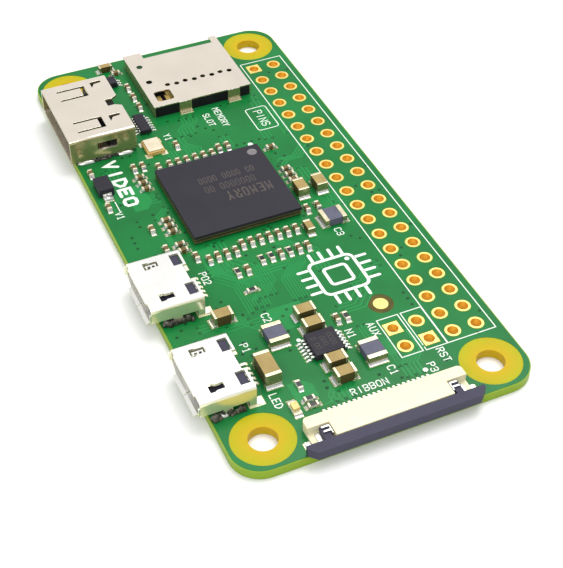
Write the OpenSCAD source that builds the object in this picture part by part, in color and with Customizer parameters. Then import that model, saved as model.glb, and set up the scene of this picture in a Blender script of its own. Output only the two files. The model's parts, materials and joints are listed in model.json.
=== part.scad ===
// Small single board computer: a laminated board with soldered parts and one sliding latch.
// Units are millimetres. The origin is the centre of the mounting hole pattern, on the underside.
// +X runs along the board to the ribbon connector, +Y to the pin header, +Z up.

/* [Board] */
// Length of the board
board_l = 65; // [65:0.5:90]
// Width of the board
board_w = 30; // [30:0.5:45]
// Thickness of the laminate with both mask layers
board_t = 1; // [0.8:0.05:1.6]
// Corner radius of the board
corner_r = 3; // [1:0.1:4]
// Distance from each mounting hole to the two nearest edges
hole_inset = 3.5; // [3.4:0.1:5]
// Diameter of the mounting holes
hole_d = 2.75; // [2.2:0.05:3.3]
// Diameter of the bare ring around each mounting hole
ring_d = 6; // [4:0.1:6.4]
// Thickness of one solder mask layer
mask_t = 0.03; // [0.02:0.005:0.05]
// Distance that the mask stays back from the board's edge
mask_back = 0.1; // [0.1:0.05:0.4]

/* [Pin header] */
// Columns of plated holes
header_columns = 20; // [2:1:20]
// Distance between neighbouring plated holes
pin_pitch = 2.54; // [2:0.02:2.6]
// Clear diameter of a plated hole
pin_hole_d = 1.1; // [0.8:0.05:1.2]
// Outer diameter of the land around a plated hole
pin_land_d = 1.55; // [1.4:0.05:1.8]
// Thickness of the plating in a hole
plating_t = 0.05; // [0.03:0.01:0.08]

/* [Processor and memory] */
// Side of the two stacked packages
package_w = 12; // [10:0.1:14.5]
// Centre of the packages along X
package_x = -3.1; // [-4:0.1:-2]
// Centre of the packages along Y
package_y = -1.8; // [-2:0.1:-1]
// Pitch of the solder balls
ball_pitch = 0.8; // [0.7:0.05:1]

/* [Video port] */
// Centre of the video port along X
video_x = -20.15; // [-21:0.05:-20]
// Width of the video port's shell
video_w = 11.1; // [9.2:0.1:13.4]
// Height of the video port's shell
video_h = 3.25; // [2.8:0.05:4]
// Depth of the video port's shell
video_d = 7.5; // [6.5:0.1:9]
// Sheet thickness of the video port's shell
video_sheet = 0.3; // [0.2:0.02:0.36]

/* [Data and power ports] */
// Centre of the data port along X
data_x = 8.9; // [8:0.1:10]
// Centre of the power port along X
power_x = 21.5; // [20.5:0.1:21.6]
// Width of the small ports' shells
port_w = 7.5; // [6.3:0.1:8.2]
// Height of the small ports' shells
port_h = 2.5; // [2.4:0.05:3]
// Depth of the small ports' shells
port_d = 5.35; // [4.9:0.05:6.4]
// Sheet thickness of the small ports' shells
port_sheet = 0.25; // [0.18:0.01:0.3]

/* [Card socket] */
// Length of the socket's cover along X
card_l = 11.4; // [10.4:0.1:13.6]
// Width of the socket's cover along Y
card_w = 11.9; // [11.7:0.1:14.2]
// Height of the socket above the board
card_h = 1.42; // [1.3:0.02:1.8]
// Sheet thickness of the cover
card_sheet = 0.15; // [0.1:0.01:0.2]

/* [Ribbon connector] */
// Number of contacts
ribbon_count = 22; // [10:1:24]
// Distance between neighbouring contacts
ribbon_pitch = 0.5; // [0.4:0.02:0.52]
// Height of the housing above the board
ribbon_h = 1.2; // [1.1:0.05:1.6]
// Depth of the housing along X
ribbon_d = 2.85; // [2.75:0.05:3.4]
// Depth of the latch's bar along X
latch_d = 1.1; // [0.8:0.05:1.6]
// Gap between the closed latch and the housing
latch_gap = 0.05; // [0.03:0.01:0.1]

/* [Hidden] */
$fn = 48;

// Colours
c_laminate = "#b9b23c";
c_mask = "#2a8c46";
c_gold = "#e3c766";
c_solder = "#d9d9d6";
c_steel = "#d8cfbe";
c_bright = "#f4f3ee";
c_black = "#2b2a2e";
c_slate = "#403e48";
c_ivory = "#f6efd2";
c_tan = "#c0a271";

// Shared small values
past = 1;             // how far a cut runs past the face that it opens
join = 0.02;          // how deep one block reaches into the next of the same piece
mask_gap = 0.06;      // clear rim between a land and the mask
slot_gap = 0.12;      // room around a tab in its slot
foot_t = 0.12;        // thickness of formed leads and feet
lift = 0.06;          // how far a moulded body stands off the board
slim = 0.02;          // how far a chip's body lies inside its metal ends
least_round = 0.12;   // smallest inner corner of a shell

// Board edges and levels
edge_x = board_l / 2;
edge_y = board_w / 2;
hole_x = edge_x - hole_inset;
hole_y = edge_y - hole_inset;
core_top = board_t - mask_t;
mask_l = board_l - 2 * mask_back;
mask_w = board_w - 2 * mask_back;

// Plated holes: the header lies on the line of the two rear mounting holes
header_y = hole_y;
row_inner = header_y - pin_pitch / 2;
column_last = (header_columns - 1) / 2 * pin_pitch;
run_y = row_inner - pin_pitch;
tv_y = run_y - pin_pitch;
// x, y, and 1 for a square land
header_places = [
    for (i = [0 : header_columns - 1])
        for (row = [0, 1])
            [i * pin_pitch - column_last, row_inner + row * pin_pitch, i + row == 0 ? 1 : 0]
];
aux_places = [
    [column_last - pin_pitch, run_y, 0],
    [column_last, run_y, 1],
    [column_last - pin_pitch, tv_y, 1],
    [column_last, tv_y, 0]
];

// Stacked packages: the heights of the layers from the board up
ball_h = 0.18;
proc_substrate_t = 0.14;
proc_mould_t = 0.2;
stack_gap = 0.05;
mem_substrate_t = 0.1;
mem_mould_t = 0.38;
proc_inset = 0.12;
ball_rows = floor((package_w - 1) / ball_pitch);
proc_z = board_t + ball_h;
mem_z = proc_z + proc_substrate_t + proc_mould_t + stack_gap;
package_right = package_x + package_w / 2;
package_left = package_x - package_w / 2;
package_back = package_y + package_w / 2;
package_front = package_y - package_w / 2;

// Ports on the front edge
video_mouth = -edge_y - 0.4;
video_rear = video_mouth + video_d;
video_foot_w = video_w - 0.7;
video_shoulder = 0.4;
video_round = 0.35;
video_tongue_w = 8.2;
video_tongue_t = 0.6;
video_tongue_z = 1.45;
video_block_d = 2.2;
video_block_in = 0.6;
video_tongue_in = 1.2;
video_foot_out = 0.25;
blade_in = 0.3;
video_contact_n = 19;
video_contact_pitch = 0.4;
video_contact_w = 0.2;
port_mouth = -edge_y - 0.8;
port_rear = port_mouth + port_d;
port_foot_w = 5.3;
port_shoulder = 0.85;
port_round = 0.42;
port_tongue_w = 3.7;
port_tongue_t = 0.5;
port_tongue_z = 1.25;
port_block_d = 1.5;
port_block_in = 0.28;
port_tongue_in = 1;
port_foot_out = 1;
port_contact_n = 5;
port_contact_pitch = 0.65;
port_contact_w = 0.32;
lip_l = 0.3;
lip_rise = 0.16;
seam_w = 0.06;
// Each shell's tabs: distance from the mouth to the tab's centre, then the tab's length
video_tabs = [[1.7, 1.3], [video_d - 1.4, 1.3]];
port_tabs = [[2.6, 0.9]];

// Card socket, its mouth towards -X
card_back = -edge_x + 1.6 + card_l;
card_front = -edge_x + 1.6;
card_y = 1.92;
card_ear_l = 1.3;
card_floor_t = 0.25;
card_wall_d = 1.1;
card_contact_n = 8;
card_contact_pitch = 1.1;
card_contact_y = 2.78;
card_contact_w = 0.7;
card_contact_t = 0.1;
card_riser_in = 2;
card_tip_down = 0.45;
spring_mid = card_back - 5;
spring_from = card_back - 7.6;
card_clear = 0.03;
card_half = card_w / 2 - card_sheet - card_clear;
card_skirt_z = 0.05;
card_tab_y = [5.7, -0.3];
card_tab_w = 1.5;
card_tab_foot = 0.45;
card_window = [2, 2];
card_window_round = 0.35;
card_window_x = card_back - 1.9;
card_window_y = -2.2;
card_hole_d = 0.62;
card_hole_x = card_back - 3.8;
card_hole_stagger = 0.15;
card_pilot_d = 0.74;
card_pilot_x = [card_back - 5.1, card_back - 8.5];
card_pilot_in = 1.15;

// Ribbon connector, its mouth towards +X
ribbon_front = edge_x - 0.45;
ribbon_rear = ribbon_front - ribbon_d;
ribbon_slot_w = ribbon_count * ribbon_pitch + 0.3;
ribbon_end_w = 2.3;
ribbon_w = ribbon_slot_w + 2 * ribbon_end_w;
ribbon_slot_z = 0.3;
ribbon_slot_t = 0.52;
ribbon_contact_w = 0.22;
ribbon_tail_l = 0.95;
ribbon_riser_in = 0.4;
ribbon_slot_in = 0.7;
recess_in = ribbon_slot_w / 2 + 0.2;
recess_out = ribbon_w / 2 - 0.5;
recess_x = ribbon_front - 1.6;
recess_z = 0.35;
latch_w = ribbon_w + 1.7;
latch_rear = ribbon_front + latch_gap;
latch_chamfer = 0.75;
latch_arm_w = 0.7;
latch_arm_z = 0.55;
latch_arm_t = 0.4;
tab_sheet = 0.12;
tab_rib_in = 0.1;
tab_foot_l = 0.5;
tab_foot_in = 0.5;
tab_foot_back = 0.2;
tab_wall_in = 0.2;
latch_arm_clear = 0.06;
latch_arm_y = recess_in + tab_rib_in + tab_sheet + 0.1;

// Chip sizes: length, width, height, and the length of one metal end
chip_0402 = [1, 0.5, 0.5, 0.24];
chip_0402_flat = [1, 0.5, 0.35, 0.2];
chip_0603 = [1.6, 0.8, 0.8, 0.27];
chip_0805 = [2, 1.25, 1.2, 0.3];
chip_1206 = [3.2, 1.6, 1.6, 0.4];
chip_inductor = [2.5, 2, 0.9, 0.5];
chip_lamp = [1.6, 0.8, 0.6, 0.3];
resistor_coat_t = 0.05;
tail_land_out = 0.15; // how far a land reaches past a formed foot
tail_land_in = 0.3;   // how far it reaches back under the foot
corner_land = [0.75, 0.8];
land_out = 0.32;      // how far a land reaches past the end of its chip
land_in = 0.1;        // how far it reaches in past the metal end

// Capacitor groups: x, y, step in x, step in y, count, and 1 if turned along Y
small_capacitor_groups = [
    [package_right + 1.93, 2.63, 0, -1, 7, 0],
    [package_right + 2.63, -4.35, 0, -1, 3, 0],
    [package_right + 2.78, -7.3, 0, -1, 1, 0],
    [package_right + 1.83, package_front - 0.55, 0, -1, 1, 0],
    [package_right + 4.83, 2.64, 0, -1, 2, 0],
    [package_right + 4.83, -0.38, 0, -1, 1, 0],
    [package_right + 5.64, -4.35, 0, -1, 1, 0],
    [2.4, package_back + 0.8, 0, 1.25, 2, 0],
    [18.4, 0.75, 0, 0, 1, 0],
    [package_left - 2, 1.47, 0, -1.04, 2, 0],
    [package_left - 1.4, -0.57, 0, -1, 6, 0],
    [package_left - 1.4, -6.85, 0, -1, 1, 0],
    [package_left - 2.3, -8.4, 0, -1, 2, 0],
    [-13.5, -3.7, 0, 0, 1, 0],
    [-12.4, -14, 0, 0, 1, 0],
    [-6.2, -14, 0, 0, 1, 0],
    [-1, package_front - 3.25, 0, 0, 1, 0],
    [2.5, package_front - 2.95, 0, 0, 1, 0],
    [-26.3, -5.05, 2.1, 0, 3, 0],
    [-1.8, package_front - 1.4, 1, 0, 3, 1],
    [2.35, package_front - 1.4, 1, 0, 2, 1],
    [-9.6, package_front - 1.55, 1.05, 0, 3, 1],
    [-4.65, package_back + 1.52, 1, 0, 3, 1],
    [-8.9, package_back + 1.55, 0, 0, 1, 1],
    [-29.7, -5.4, 0, 0, 1, 1]
];
resistor_groups = [
    [package_right + 4.8, 0.62, 0, 0, 1, 0],
    [package_right + 4.8, -1.4, 0, -1.03, 2, 0],
    [package_right + 5.6, -5.4, 0, 0, 1, 0],
    [11.45, -5.1, 0, 0, 1, 1],
    [18.45, 1.75, 0, 0, 1, 0],
    [24.7, -6.1, 0, 0, 1, 0],
    [26.55, -5.9, 0.8, 0, 2, 1]
];
// Larger capacitors: x, y, 1 if turned along Y, size
power_capacitor_places = [
    [16.66, -1.85, 1, chip_0805],
    [18.56, -1.85, 1, chip_0805],
    [23.6, -1.85, 1, chip_0805],
    [25.47, -1.85, 1, chip_0805],
    [14.1, -9.3, 1, chip_0805],
    [-0.55, package_back + 3.6, 0, chip_0805],
    [-0.55, package_back + 1.42, 0, chip_0805],
    [-31, -6.3, 1, chip_0603],
    [package_right + 2.5, package_back - 0.36, 0, chip_0603],
    [22.2, -8.15, 0, chip_1206]
];
inductor_places = [
    [23.75, 1.85, 0, chip_inductor],
    [18.2, -5.6, 0, chip_inductor],
    [4.85, package_back + 2.6, 1, chip_inductor]
];
lamp_places = [[27.05, -7.55, 0, chip_lamp]];
lamp_base_t = 0.2;
lamp_rim = 0.06;

// Places of a list of groups, each with the chip's size
function spread(groups, size) = [
    for (g = groups)
        for (i = [0 : g[4] - 1])
            [g[0] + i * g[2], g[1] + i * g[3], g[5], size]
];
small_capacitor_places = spread(small_capacitor_groups, chip_0402);
resistor_places = spread(resistor_groups, chip_0402_flat);
chip_places = concat(small_capacitor_places, resistor_places, power_capacitor_places,
                     inductor_places, lamp_places);

// Leaded packages: x, y, body length, body width, body height, leads a side, pitch, lead reach, lead width
regulator = [21.1, -1.85, 3, 3, 0.8, 6, 0.45, 0.7, 0.24];
array_chip = [-18.65, video_rear + 1.95, 3.3, 1.2, 0.6, 6, 0.5, 0.5, 0.22];
small_chip = [-27.9, -6.6, 1.5, 1.2, 0.7, 3, 0.5, 0.5, 0.24];
leaded_chips = [regulator, array_chip, small_chip];
lead_foot_l = 0.32;
lead_root_z = 0.3;

// Crystal and diode
crystal_x = -14.15;
crystal_y = -6.2;
crystal_size = [2.5, 2, 0.65];
crystal_lid_t = 0.2;
crystal_lid_rim = 0.14;
crystal_pad = [0.75, 0.7];
crystal_pad_out = 0.25;
diode_x = -9.4;
diode_y = -13.5;
diode_size = [2.4, 1.65, 1];
diode_lead_l = 0.75;
diode_lead_w = 1;

// Fiducial mark and underside test pads
fiducial_x = 18.12;
fiducial_y = 5.63;
fiducial_d = 1.5;
fiducial_window_d = 2.6;
test_pad_d = 1.2;
test_pad_groups = [
    [-24, -2, 2.6, 0, 5],
    [-24, 1.4, 2.6, 0, 3],
    [6, -6.5, 2.4, 0, 4],
    [8.9, -9.6, 0, 3.2, 1],
    [15.5, -1, 2.4, 0, 3],
    [-8, 5.6, 3, 0, 4],
    [18, 3.2, 3, 0, 3]
];
test_pad_places = [
    for (g = test_pad_groups)
        for (i = [0 : g[4] - 1])
            [g[0] + i * g[2], g[1] + i * g[3]]
];

// ---- Shared shapes ----

// Box from one corner to the opposite corner
module box(a, b) {
    translate(a) cube(b - a);
}

// The same shape at y and at -y
module both_ends() {
    children();
    mirror([0, 1, 0]) children();
}

// Flat plate with round corners, standing on z
module round_plate(l, w, r, z, t) {
    translate([0, 0, z]) {
        box([-l / 2 + r, -w / 2, 0], [l / 2 - r, w / 2, t]);
        box([-l / 2, -w / 2 + r, 0], [l / 2, w / 2 - r, t]);
        for (sx = [-1, 1])
            for (sy = [-1, 1])
                translate([sx * (l / 2 - r), sy * (w / 2 - r), 0]) cylinder(r = r, h = t);
    }
}

// Discs or cylinders at the four mounting holes
module at_mounting_holes(d, z, t) {
    for (sx = [-1, 1])
        for (sy = [-1, 1])
            translate([sx * hole_x, sy * hole_y, z]) cylinder(d = d, h = t);
}

// Cylinders or square blocks at plated holes; 0 extra is the land's own size
module at_plated_holes(places, extra, z, t) {
    for (p = places)
        translate([p[0], p[1], z])
            if (p[2] == 1)
                box([-pin_land_d / 2 - extra, -pin_land_d / 2 - extra, 0],
                    [pin_land_d / 2 + extra, pin_land_d / 2 + extra, t]);
            else
                cylinder(d = pin_land_d + 2 * extra, h = t);
}

// Plain drills at plated holes
module drill_plated_holes(places, d) {
    for (p = places)
        translate([p[0], p[1], -past]) cylinder(d = d, h = board_t + 2 * past);
}

// Plated holes: a barrel with a land on each face
module plated_holes(places) {
    for (p = places)
        difference() {
            union() {
                translate([p[0], p[1], 0]) cylinder(d = pin_hole_d + 2 * plating_t, h = board_t);
                at_plated_holes([p], 0, core_top, mask_t);
                at_plated_holes([p], 0, 0, mask_t);
            }
            drill_plated_holes([p], pin_hole_d);
        }
}

// Oval slot through the board for one tab of sheet metal, with room around it
module tab_slot(x, y, sheet, l, extra, z, t) {
    r = sheet / 2 + slot_gap + extra;
    translate([x, y, z]) {
        box([-r, -l / 2, 0], [r, l / 2, t]);
        for (s = [-1, 1])
            translate([0, s * l / 2, 0]) cylinder(r = r, h = t);
    }
}

// Slots of one port on both sides
module port_slots(x, w, sheet, mouth, tabs, extra, z, t) {
    for (tab = tabs)
        for (s = [-1, 1])
            tab_slot(x + s * (w - sheet) / 2, mouth + tab[0], sheet, tab[1], extra, z, t);
}

// All tab slots of the front ports
module all_slots(extra, z, t) {
    port_slots(video_x, video_w, video_sheet, video_mouth, video_tabs, extra, z, t);
    port_slots(data_x, port_w, port_sheet, port_mouth, port_tabs, extra, z, t);
    port_slots(power_x, port_w, port_sheet, port_mouth, port_tabs, extra, z, t);
}

// Turns a child drawn along X to its place on the board
module place_chip(p) {
    translate([p[0], p[1], 0]) rotate([0, 0, p[2] * 90]) children();
}

// ---- Lands ----

// The two lands of each chip
module chip_lands(extra, z, t) {
    for (p = chip_places) {
        size = p[3];
        inner = size[0] / 2 - size[3] - land_in;
        outer = size[0] / 2 + land_out;
        place_chip(p)
            for (s = [0, 1])
                mirror([s, 0, 0])
                    box([inner - extra, -size[1] / 2 - extra, z],
                        [outer + extra, size[1] / 2 + extra, z + t]);
    }
}

// One land under each foot of the leaded packages
module leaded_lands(extra, z, t) {
    for (c = leaded_chips)
        translate([c[0], c[1], 0])
            both_ends()
                for (i = [0 : c[5] - 1])
                    translate([(i - (c[5] - 1) / 2) * c[6], c[3] / 2 + c[7] - lead_foot_l, 0])
                        box([-c[8] / 2 - extra / 2, -extra, z],
                            [c[8] / 2 + extra / 2, lead_foot_l + land_out / 2 + extra, z + t]);
}

// Four corner lands of the crystal
module crystal_lands(extra, z, t) {
    for (sx = [0, 1])
        for (sy = [0, 1])
            translate([crystal_x, crystal_y, 0]) mirror([sx, 0, 0]) mirror([0, sy, 0])
                translate([crystal_size[0] / 2 + crystal_pad_out, crystal_size[1] / 2 + crystal_pad_out, z])
                    box([-crystal_pad[0] - extra, -crystal_pad[1] - extra, 0], [extra, extra, t]);
}

// Two lands of the diode
module diode_lands(extra, z, t) {
    for (s = [0, 1])
        translate([diode_x, diode_y, 0]) mirror([s, 0, 0])
            box([diode_size[0] / 2 - extra, -diode_lead_w / 2 - extra, z],
                [diode_size[0] / 2 + diode_lead_l + tail_land_out + extra, diode_lead_w / 2 + extra, z + t]);
}

// Lands behind one small port: two corner lands and one for each tail
module port_lands(x, extra, z, t) {
    for (s = [0, 1])
        translate([x, 0, 0]) mirror([s, 0, 0])
            box([port_foot_w / 2 + tail_land_out - extra, port_rear - corner_land[0] - extra, z],
                [port_w / 2 + tail_land_out + extra, port_rear + corner_land[1] + extra, z + t]);
    for (i = [0 : port_contact_n - 1])
        translate([x + (i - (port_contact_n - 1) / 2) * port_contact_pitch, 0, 0])
            box([-port_contact_w / 2 - extra, port_rear + port_foot_out - tail_land_in - extra, z],
                [port_contact_w / 2 + extra, port_rear + port_foot_out + tail_land_out + extra, z + t]);
}

// Tail lands of the video port
module video_lands(extra, z, t) {
    for (i = [0 : video_contact_n - 1])
        translate([video_x + (i - (video_contact_n - 1) / 2) * video_contact_pitch, 0, 0])
            box([-video_contact_w / 2 - extra / 2,
                 video_rear + video_foot_out - tail_land_in - extra,
                 z],
                [video_contact_w / 2 + extra / 2,
                 video_rear + video_foot_out + tail_land_out + extra,
                 z + t]);
}

// Lands at the back and the mouth of the card socket
module card_lands(extra, z, t) {
    for (y = card_tab_y)
        box([card_back - tail_land_in - extra, y - card_tab_w / 2 - extra, z],
            [card_back + card_tab_foot + tail_land_out + extra, y + card_tab_w / 2 + extra, z + t]);
}

// Lands of the ribbon connector: one a tail and one at each end
module ribbon_lands(extra, z, t) {
    for (i = [0 : ribbon_count - 1])
        translate([0, (i - (ribbon_count - 1) / 2) * ribbon_pitch, 0])
            box([ribbon_rear - ribbon_tail_l - tail_land_out - extra, -ribbon_contact_w / 2 - extra / 2, z],
                [ribbon_rear - ribbon_tail_l + tail_land_in + extra,
                 ribbon_contact_w / 2 + extra / 2,
                 z + t]);
    both_ends()
        box([recess_x + tab_foot_in - extra, ribbon_w / 2 - extra, z],
            [ribbon_front - tab_foot_back + extra, ribbon_w / 2 + tab_foot_l + tail_land_out + extra, z + t]);
}

// All lands at the top face, with their rim grown by extra
module top_lands(extra, z, t) {
    chip_lands(extra, z, t);
    leaded_lands(extra, z, t);
    crystal_lands(extra, z, t);
    diode_lands(extra, z, t);
    port_lands(data_x, extra, z, t);
    port_lands(power_x, extra, z, t);
    video_lands(extra, z, t);
    card_lands(extra, z, t);
    ribbon_lands(extra, z, t);
}

// Round test pads at the underside
module test_discs(extra, z, t) {
    for (p = test_pad_places)
        translate([p[0], p[1], z]) cylinder(d = test_pad_d + 2 * extra, h = t);
}

// ---- Board ----

module board_core() {
    rim = mask_back - slim;
    color(c_laminate)
        difference() {
            round_plate(board_l, board_w, corner_r, 0, core_top);
            // shallow recess that the lower mask fills; the rim and the rings stay flush with it
            difference() {
                round_plate(board_l - 2 * rim, board_w - 2 * rim, corner_r - rim, -past, mask_t + past);
                at_mounting_holes(ring_d - 2 * slim, -2 * past, board_t + 4 * past);
            }
            at_mounting_holes(hole_d, -past, board_t + 2 * past);
            drill_plated_holes(header_places, pin_hole_d + 2 * plating_t);
            drill_plated_holes(aux_places, pin_hole_d + 2 * plating_t);
            all_slots(0, -past, board_t + 2 * past);
        }
}

module solder_mask_top() {
    color(c_mask)
        difference() {
            round_plate(mask_l, mask_w, corner_r - mask_back, core_top, mask_t);
            at_mounting_holes(ring_d, 0, board_t + past);
            at_plated_holes(header_places, mask_gap, 0, board_t + past);
            at_plated_holes(aux_places, mask_gap, 0, board_t + past);
            all_slots(mask_gap, 0, board_t + past);
            translate([fiducial_x, fiducial_y, 0]) cylinder(d = fiducial_window_d, h = board_t + past);
            top_lands(mask_gap, 0, board_t + past);
        }
}

module solder_mask_bottom() {
    color(c_mask)
        difference() {
            round_plate(mask_l, mask_w, corner_r - mask_back, 0, mask_t);
            at_mounting_holes(ring_d, -past, board_t + past);
            at_plated_holes(header_places, mask_gap, -past, board_t + past);
            at_plated_holes(aux_places, mask_gap, -past, board_t + past);
            all_slots(mask_gap, -past, board_t + past);
            test_discs(mask_gap, -past, board_t + past);
        }
}

module header_plated_holes() {
    color(c_gold) plated_holes(header_places);
}

module aux_plated_holes() {
    color(c_gold) plated_holes(aux_places);
}

module smd_lands() {
    color(c_gold) top_lands(0, core_top, mask_t);
}

module fiducial_dot() {
    color(c_gold) translate([fiducial_x, fiducial_y, core_top]) cylinder(d = fiducial_d, h = mask_t);
}

module test_pads() {
    color(c_gold) test_discs(0, 0, mask_t);
}

// ---- Stacked packages ----

// Square slab centred on the packages
module package_slab(side, z, t) {
    translate([package_x, package_y, z]) box([-side / 2, -side / 2, 0], [side / 2, side / 2, t]);
}

// Ring of squat solder balls on a square grid, from the outer row in
module ball_ring(rows, z, h) {
    span = (ball_rows - 1) / 2;
    for (i = [0 : ball_rows - 1])
        for (j = [0 : ball_rows - 1])
            if (min(i, j, ball_rows - 1 - i, ball_rows - 1 - j) < rows)
                translate([package_x + (i - span) * ball_pitch, package_y + (j - span) * ball_pitch, z])
                    cylinder(d = ball_pitch / 2, h = h, $fn = 8);
}

module processor_balls() {
    color(c_solder) ball_ring(1, board_t, ball_h);
}

module processor_substrate() {
    color("#6f7a45") package_slab(package_w, proc_z, proc_substrate_t);
}

module processor_mould() {
    color(c_black) package_slab(package_w - 2 * proc_inset, proc_z + proc_substrate_t, proc_mould_t);
}

module memory_balls() {
    color(c_solder) ball_ring(1, mem_z - stack_gap, stack_gap);
}

module memory_substrate() {
    color("#4a4a38") package_slab(package_w, mem_z, mem_substrate_t);
}

module memory_mould() {
    color(c_slate) package_slab(package_w, mem_z + mem_substrate_t, mem_mould_t);
}

// ---- Front ports ----

// Outline of a port's shell: narrow foot, straight sides, round top corners
module port_outline(w, h, foot_w, shoulder, r) {
    polygon([
        [-foot_w / 2, 0],
        [foot_w / 2, 0],
        [w / 2, shoulder],
        [w / 2, h - r],
        [-w / 2, h - r],
        [-w / 2, shoulder]
    ]);
    polygon([
        [-w / 2 + r, shoulder],
        [w / 2 - r, shoulder],
        [w / 2 - r, h],
        [-w / 2 + r, h]
    ]);
    for (s = [-1, 1])
        translate([s * (w / 2 - r), h - r]) circle(r = r);
}

// Slant of the foot: run over rise, and slant length over rise
function slant_run(w, foot_w, shoulder) = (w - foot_w) / 2 / shoulder;
function slant_long(w, foot_w, shoulder) = sqrt(pow((w - foot_w) / 2, 2) + pow(shoulder, 2)) / shoulder;
// Foot width and shoulder height of the same outline, one sheet further in
function inner_foot(w, foot_w, shoulder, t) =
    foot_w + 2 * t * (slant_run(w, foot_w, shoulder) - slant_long(w, foot_w, shoulder));
function inner_shoulder(w, foot_w, shoulder, t) =
    ((w - foot_w) / 2 - t + t * slant_long(w, foot_w, shoulder)) / slant_run(w, foot_w, shoulder) - t;

// Extrudes an outline in X and Z along Y
module along_y(from, to) {
    translate([0, to, 0]) rotate([90, 0, 0]) linear_extrude(height = to - from) children();
}

// The space inside a shell of a given sheet thickness
module shell_inside(w, h, foot_w, shoulder, r, t, from, to) {
    along_y(from, to)
        translate([0, t])
            port_outline(w - 2 * t, h - 2 * t, inner_foot(w, foot_w, shoulder, t),
                         inner_shoulder(w, foot_w, shoulder, t), max(r - t, least_round));
}

// Formed contacts of a port: a blade under the tongue, a drop at the back and a foot on the board
module port_contact_set(n, pitch, w, blade_z, from, drop_y, foot_y) {
    for (i = [0 : n - 1])
        translate([(i - (n - 1) / 2) * pitch, 0, 0]) {
            box([-w / 2, from, blade_z - foot_t], [w / 2, drop_y, blade_z]);
            box([-w / 2, drop_y - foot_t, 0], [w / 2, drop_y, blade_z]);
            box([-w / 2, drop_y - foot_t, 0], [w / 2, foot_y, foot_t]);
        }
}

// Straight tabs down through the board from both side walls
module shell_tabs(w, sheet, mouth, shoulder, tabs) {
    for (tab = tabs)
        for (s = [0, 1])
            mirror([s, 0, 0])
                box([w / 2 - sheet, mouth + tab[0] - tab[1] / 2, -board_t],
                    [w / 2, mouth + tab[0] + tab[1] / 2, shoulder + sheet]);
}

// U-shaped cut around a spring tongue in the top sheet, open towards the mouth
module tongue_cut(x, from, to, w, cut_w, end_w, z, t) {
    for (s = [-1, 1])
        translate([x + s * (w - cut_w) / 2, 0, 0]) box([-cut_w / 2, from, z], [cut_w / 2, to, z + t]);
    box([x - w / 2, to - end_w, z], [x + w / 2, to, z + t]);
}

// Small three-cornered latch window in the top sheet
module latch_window(x, y, l, w, z, t) {
    translate([x, y, z])
        linear_extrude(height = t)
            polygon([[0, 0], [w, 0], [w * 0.42, l * 0.3], [w * 0.34, l], [0, l]]);
}

module video_port_inside(from, to) {
    shell_inside(video_w, video_h, video_foot_w, video_shoulder, video_round, video_sheet, from, to);
}

module video_port_shell() {
    notch_w = 1.25;
    notch_mouth_w = 2.1;
    notch_l = 1.5;
    notch_neck = 0.7;
    tongue_l = 3.2;
    tongue_w = 2;
    tongue_from = video_rear - 6.05;
    cut_w = 0.24;
    end_w = 0.5;
    tongue_side = 3.2;
    window_y = video_rear - 2.05;
    window_l = 1.25;
    window_w = 1.05;
    window_out = 0.35;
    side_window_from = 3.1;
    side_window = [2.2, 0.9];
    side_window_z = 1.35;
    floor_open = [0.6, 1.1];
    top_z = video_h - video_sheet - join;
    color(c_steel)
        translate([video_x, 0, board_t]) {
            difference() {
                along_y(video_mouth, video_rear)
                    port_outline(video_w, video_h, video_foot_w, video_shoulder, video_round);
                video_port_inside(video_mouth - past, video_rear + past);
                // notch in the back edge of the top, wider at its mouth
                translate([0, video_rear, top_z])
                    linear_extrude(height = past)
                        polygon([
                            [-notch_w / 2, -notch_l],
                            [notch_w / 2, -notch_l],
                            [notch_w / 2, -notch_neck],
                            [notch_mouth_w / 2, 0],
                            [notch_mouth_w / 2, past],
                            [-notch_mouth_w / 2, past],
                            [-notch_mouth_w / 2, 0],
                            [-notch_w / 2, -notch_neck]
                        ]);
                for (s = [-1, 1])
                    tongue_cut(s * tongue_side, tongue_from, tongue_from + tongue_l, tongue_w,
                               cut_w, end_w, top_z, past);
                for (x = [-tongue_side - tongue_w / 2 - window_out,
                          tongue_side - tongue_w / 2 + window_out / 2])
                    latch_window(x, window_y, window_l, window_w, top_z, past);
                // spring windows in both sides
                for (s = [-1, 1])
                    translate([s * video_w / 2, video_mouth + side_window_from, side_window_z])
                        box([-past, 0, 0], [past, side_window[0], side_window[1]]);
                // open floor behind the block, for the tails
                box([-video_foot_w / 2 + floor_open[0], video_rear - floor_open[1], -past],
                    [video_foot_w / 2 - floor_open[0], video_rear + past, video_sheet + join]);
            }
            shell_tabs(video_w, video_sheet, video_mouth, video_shoulder, video_tabs);
        }
}

module video_contact_runs() {
    port_contact_set(video_contact_n, video_contact_pitch, video_contact_w, video_tongue_z,
                     video_mouth + video_tongue_in + blade_in, video_rear - video_block_in / 2,
                     video_rear + video_foot_out);
}

module video_port_insulator() {
    block_to = video_rear - video_block_in;
    block_from = block_to - video_block_d;
    color(c_black)
        translate([video_x, 0, board_t])
            difference() {
                union() {
                    video_port_inside(block_from, block_to);
                    box([-video_tongue_w / 2, video_mouth + video_tongue_in, video_tongue_z],
                        [video_tongue_w / 2, block_from + join, video_tongue_z + video_tongue_t]);
                }
                video_contact_runs();
            }
}

module video_port_contacts() {
    color(c_gold) translate([video_x, 0, board_t]) video_contact_runs();
}

module port_inside(from, to) {
    shell_inside(port_w, port_h, port_foot_w, port_shoulder, port_round, port_sheet, from, to);
}

// Hourglass window in the top sheet of a small port
module waist_window(x, y, l, wide, waist, z, t) {
    translate([x, y, z])
        linear_extrude(height = t)
            polygon([
                [-wide / 2, 0],
                [wide / 2, 0],
                [wide / 2, l * 0.32],
                [waist / 2, l * 0.45],
                [waist / 2, l],
                [-waist / 2, l],
                [-waist / 2, l * 0.45],
                [-wide / 2, l * 0.32]
            ]);
}

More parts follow.
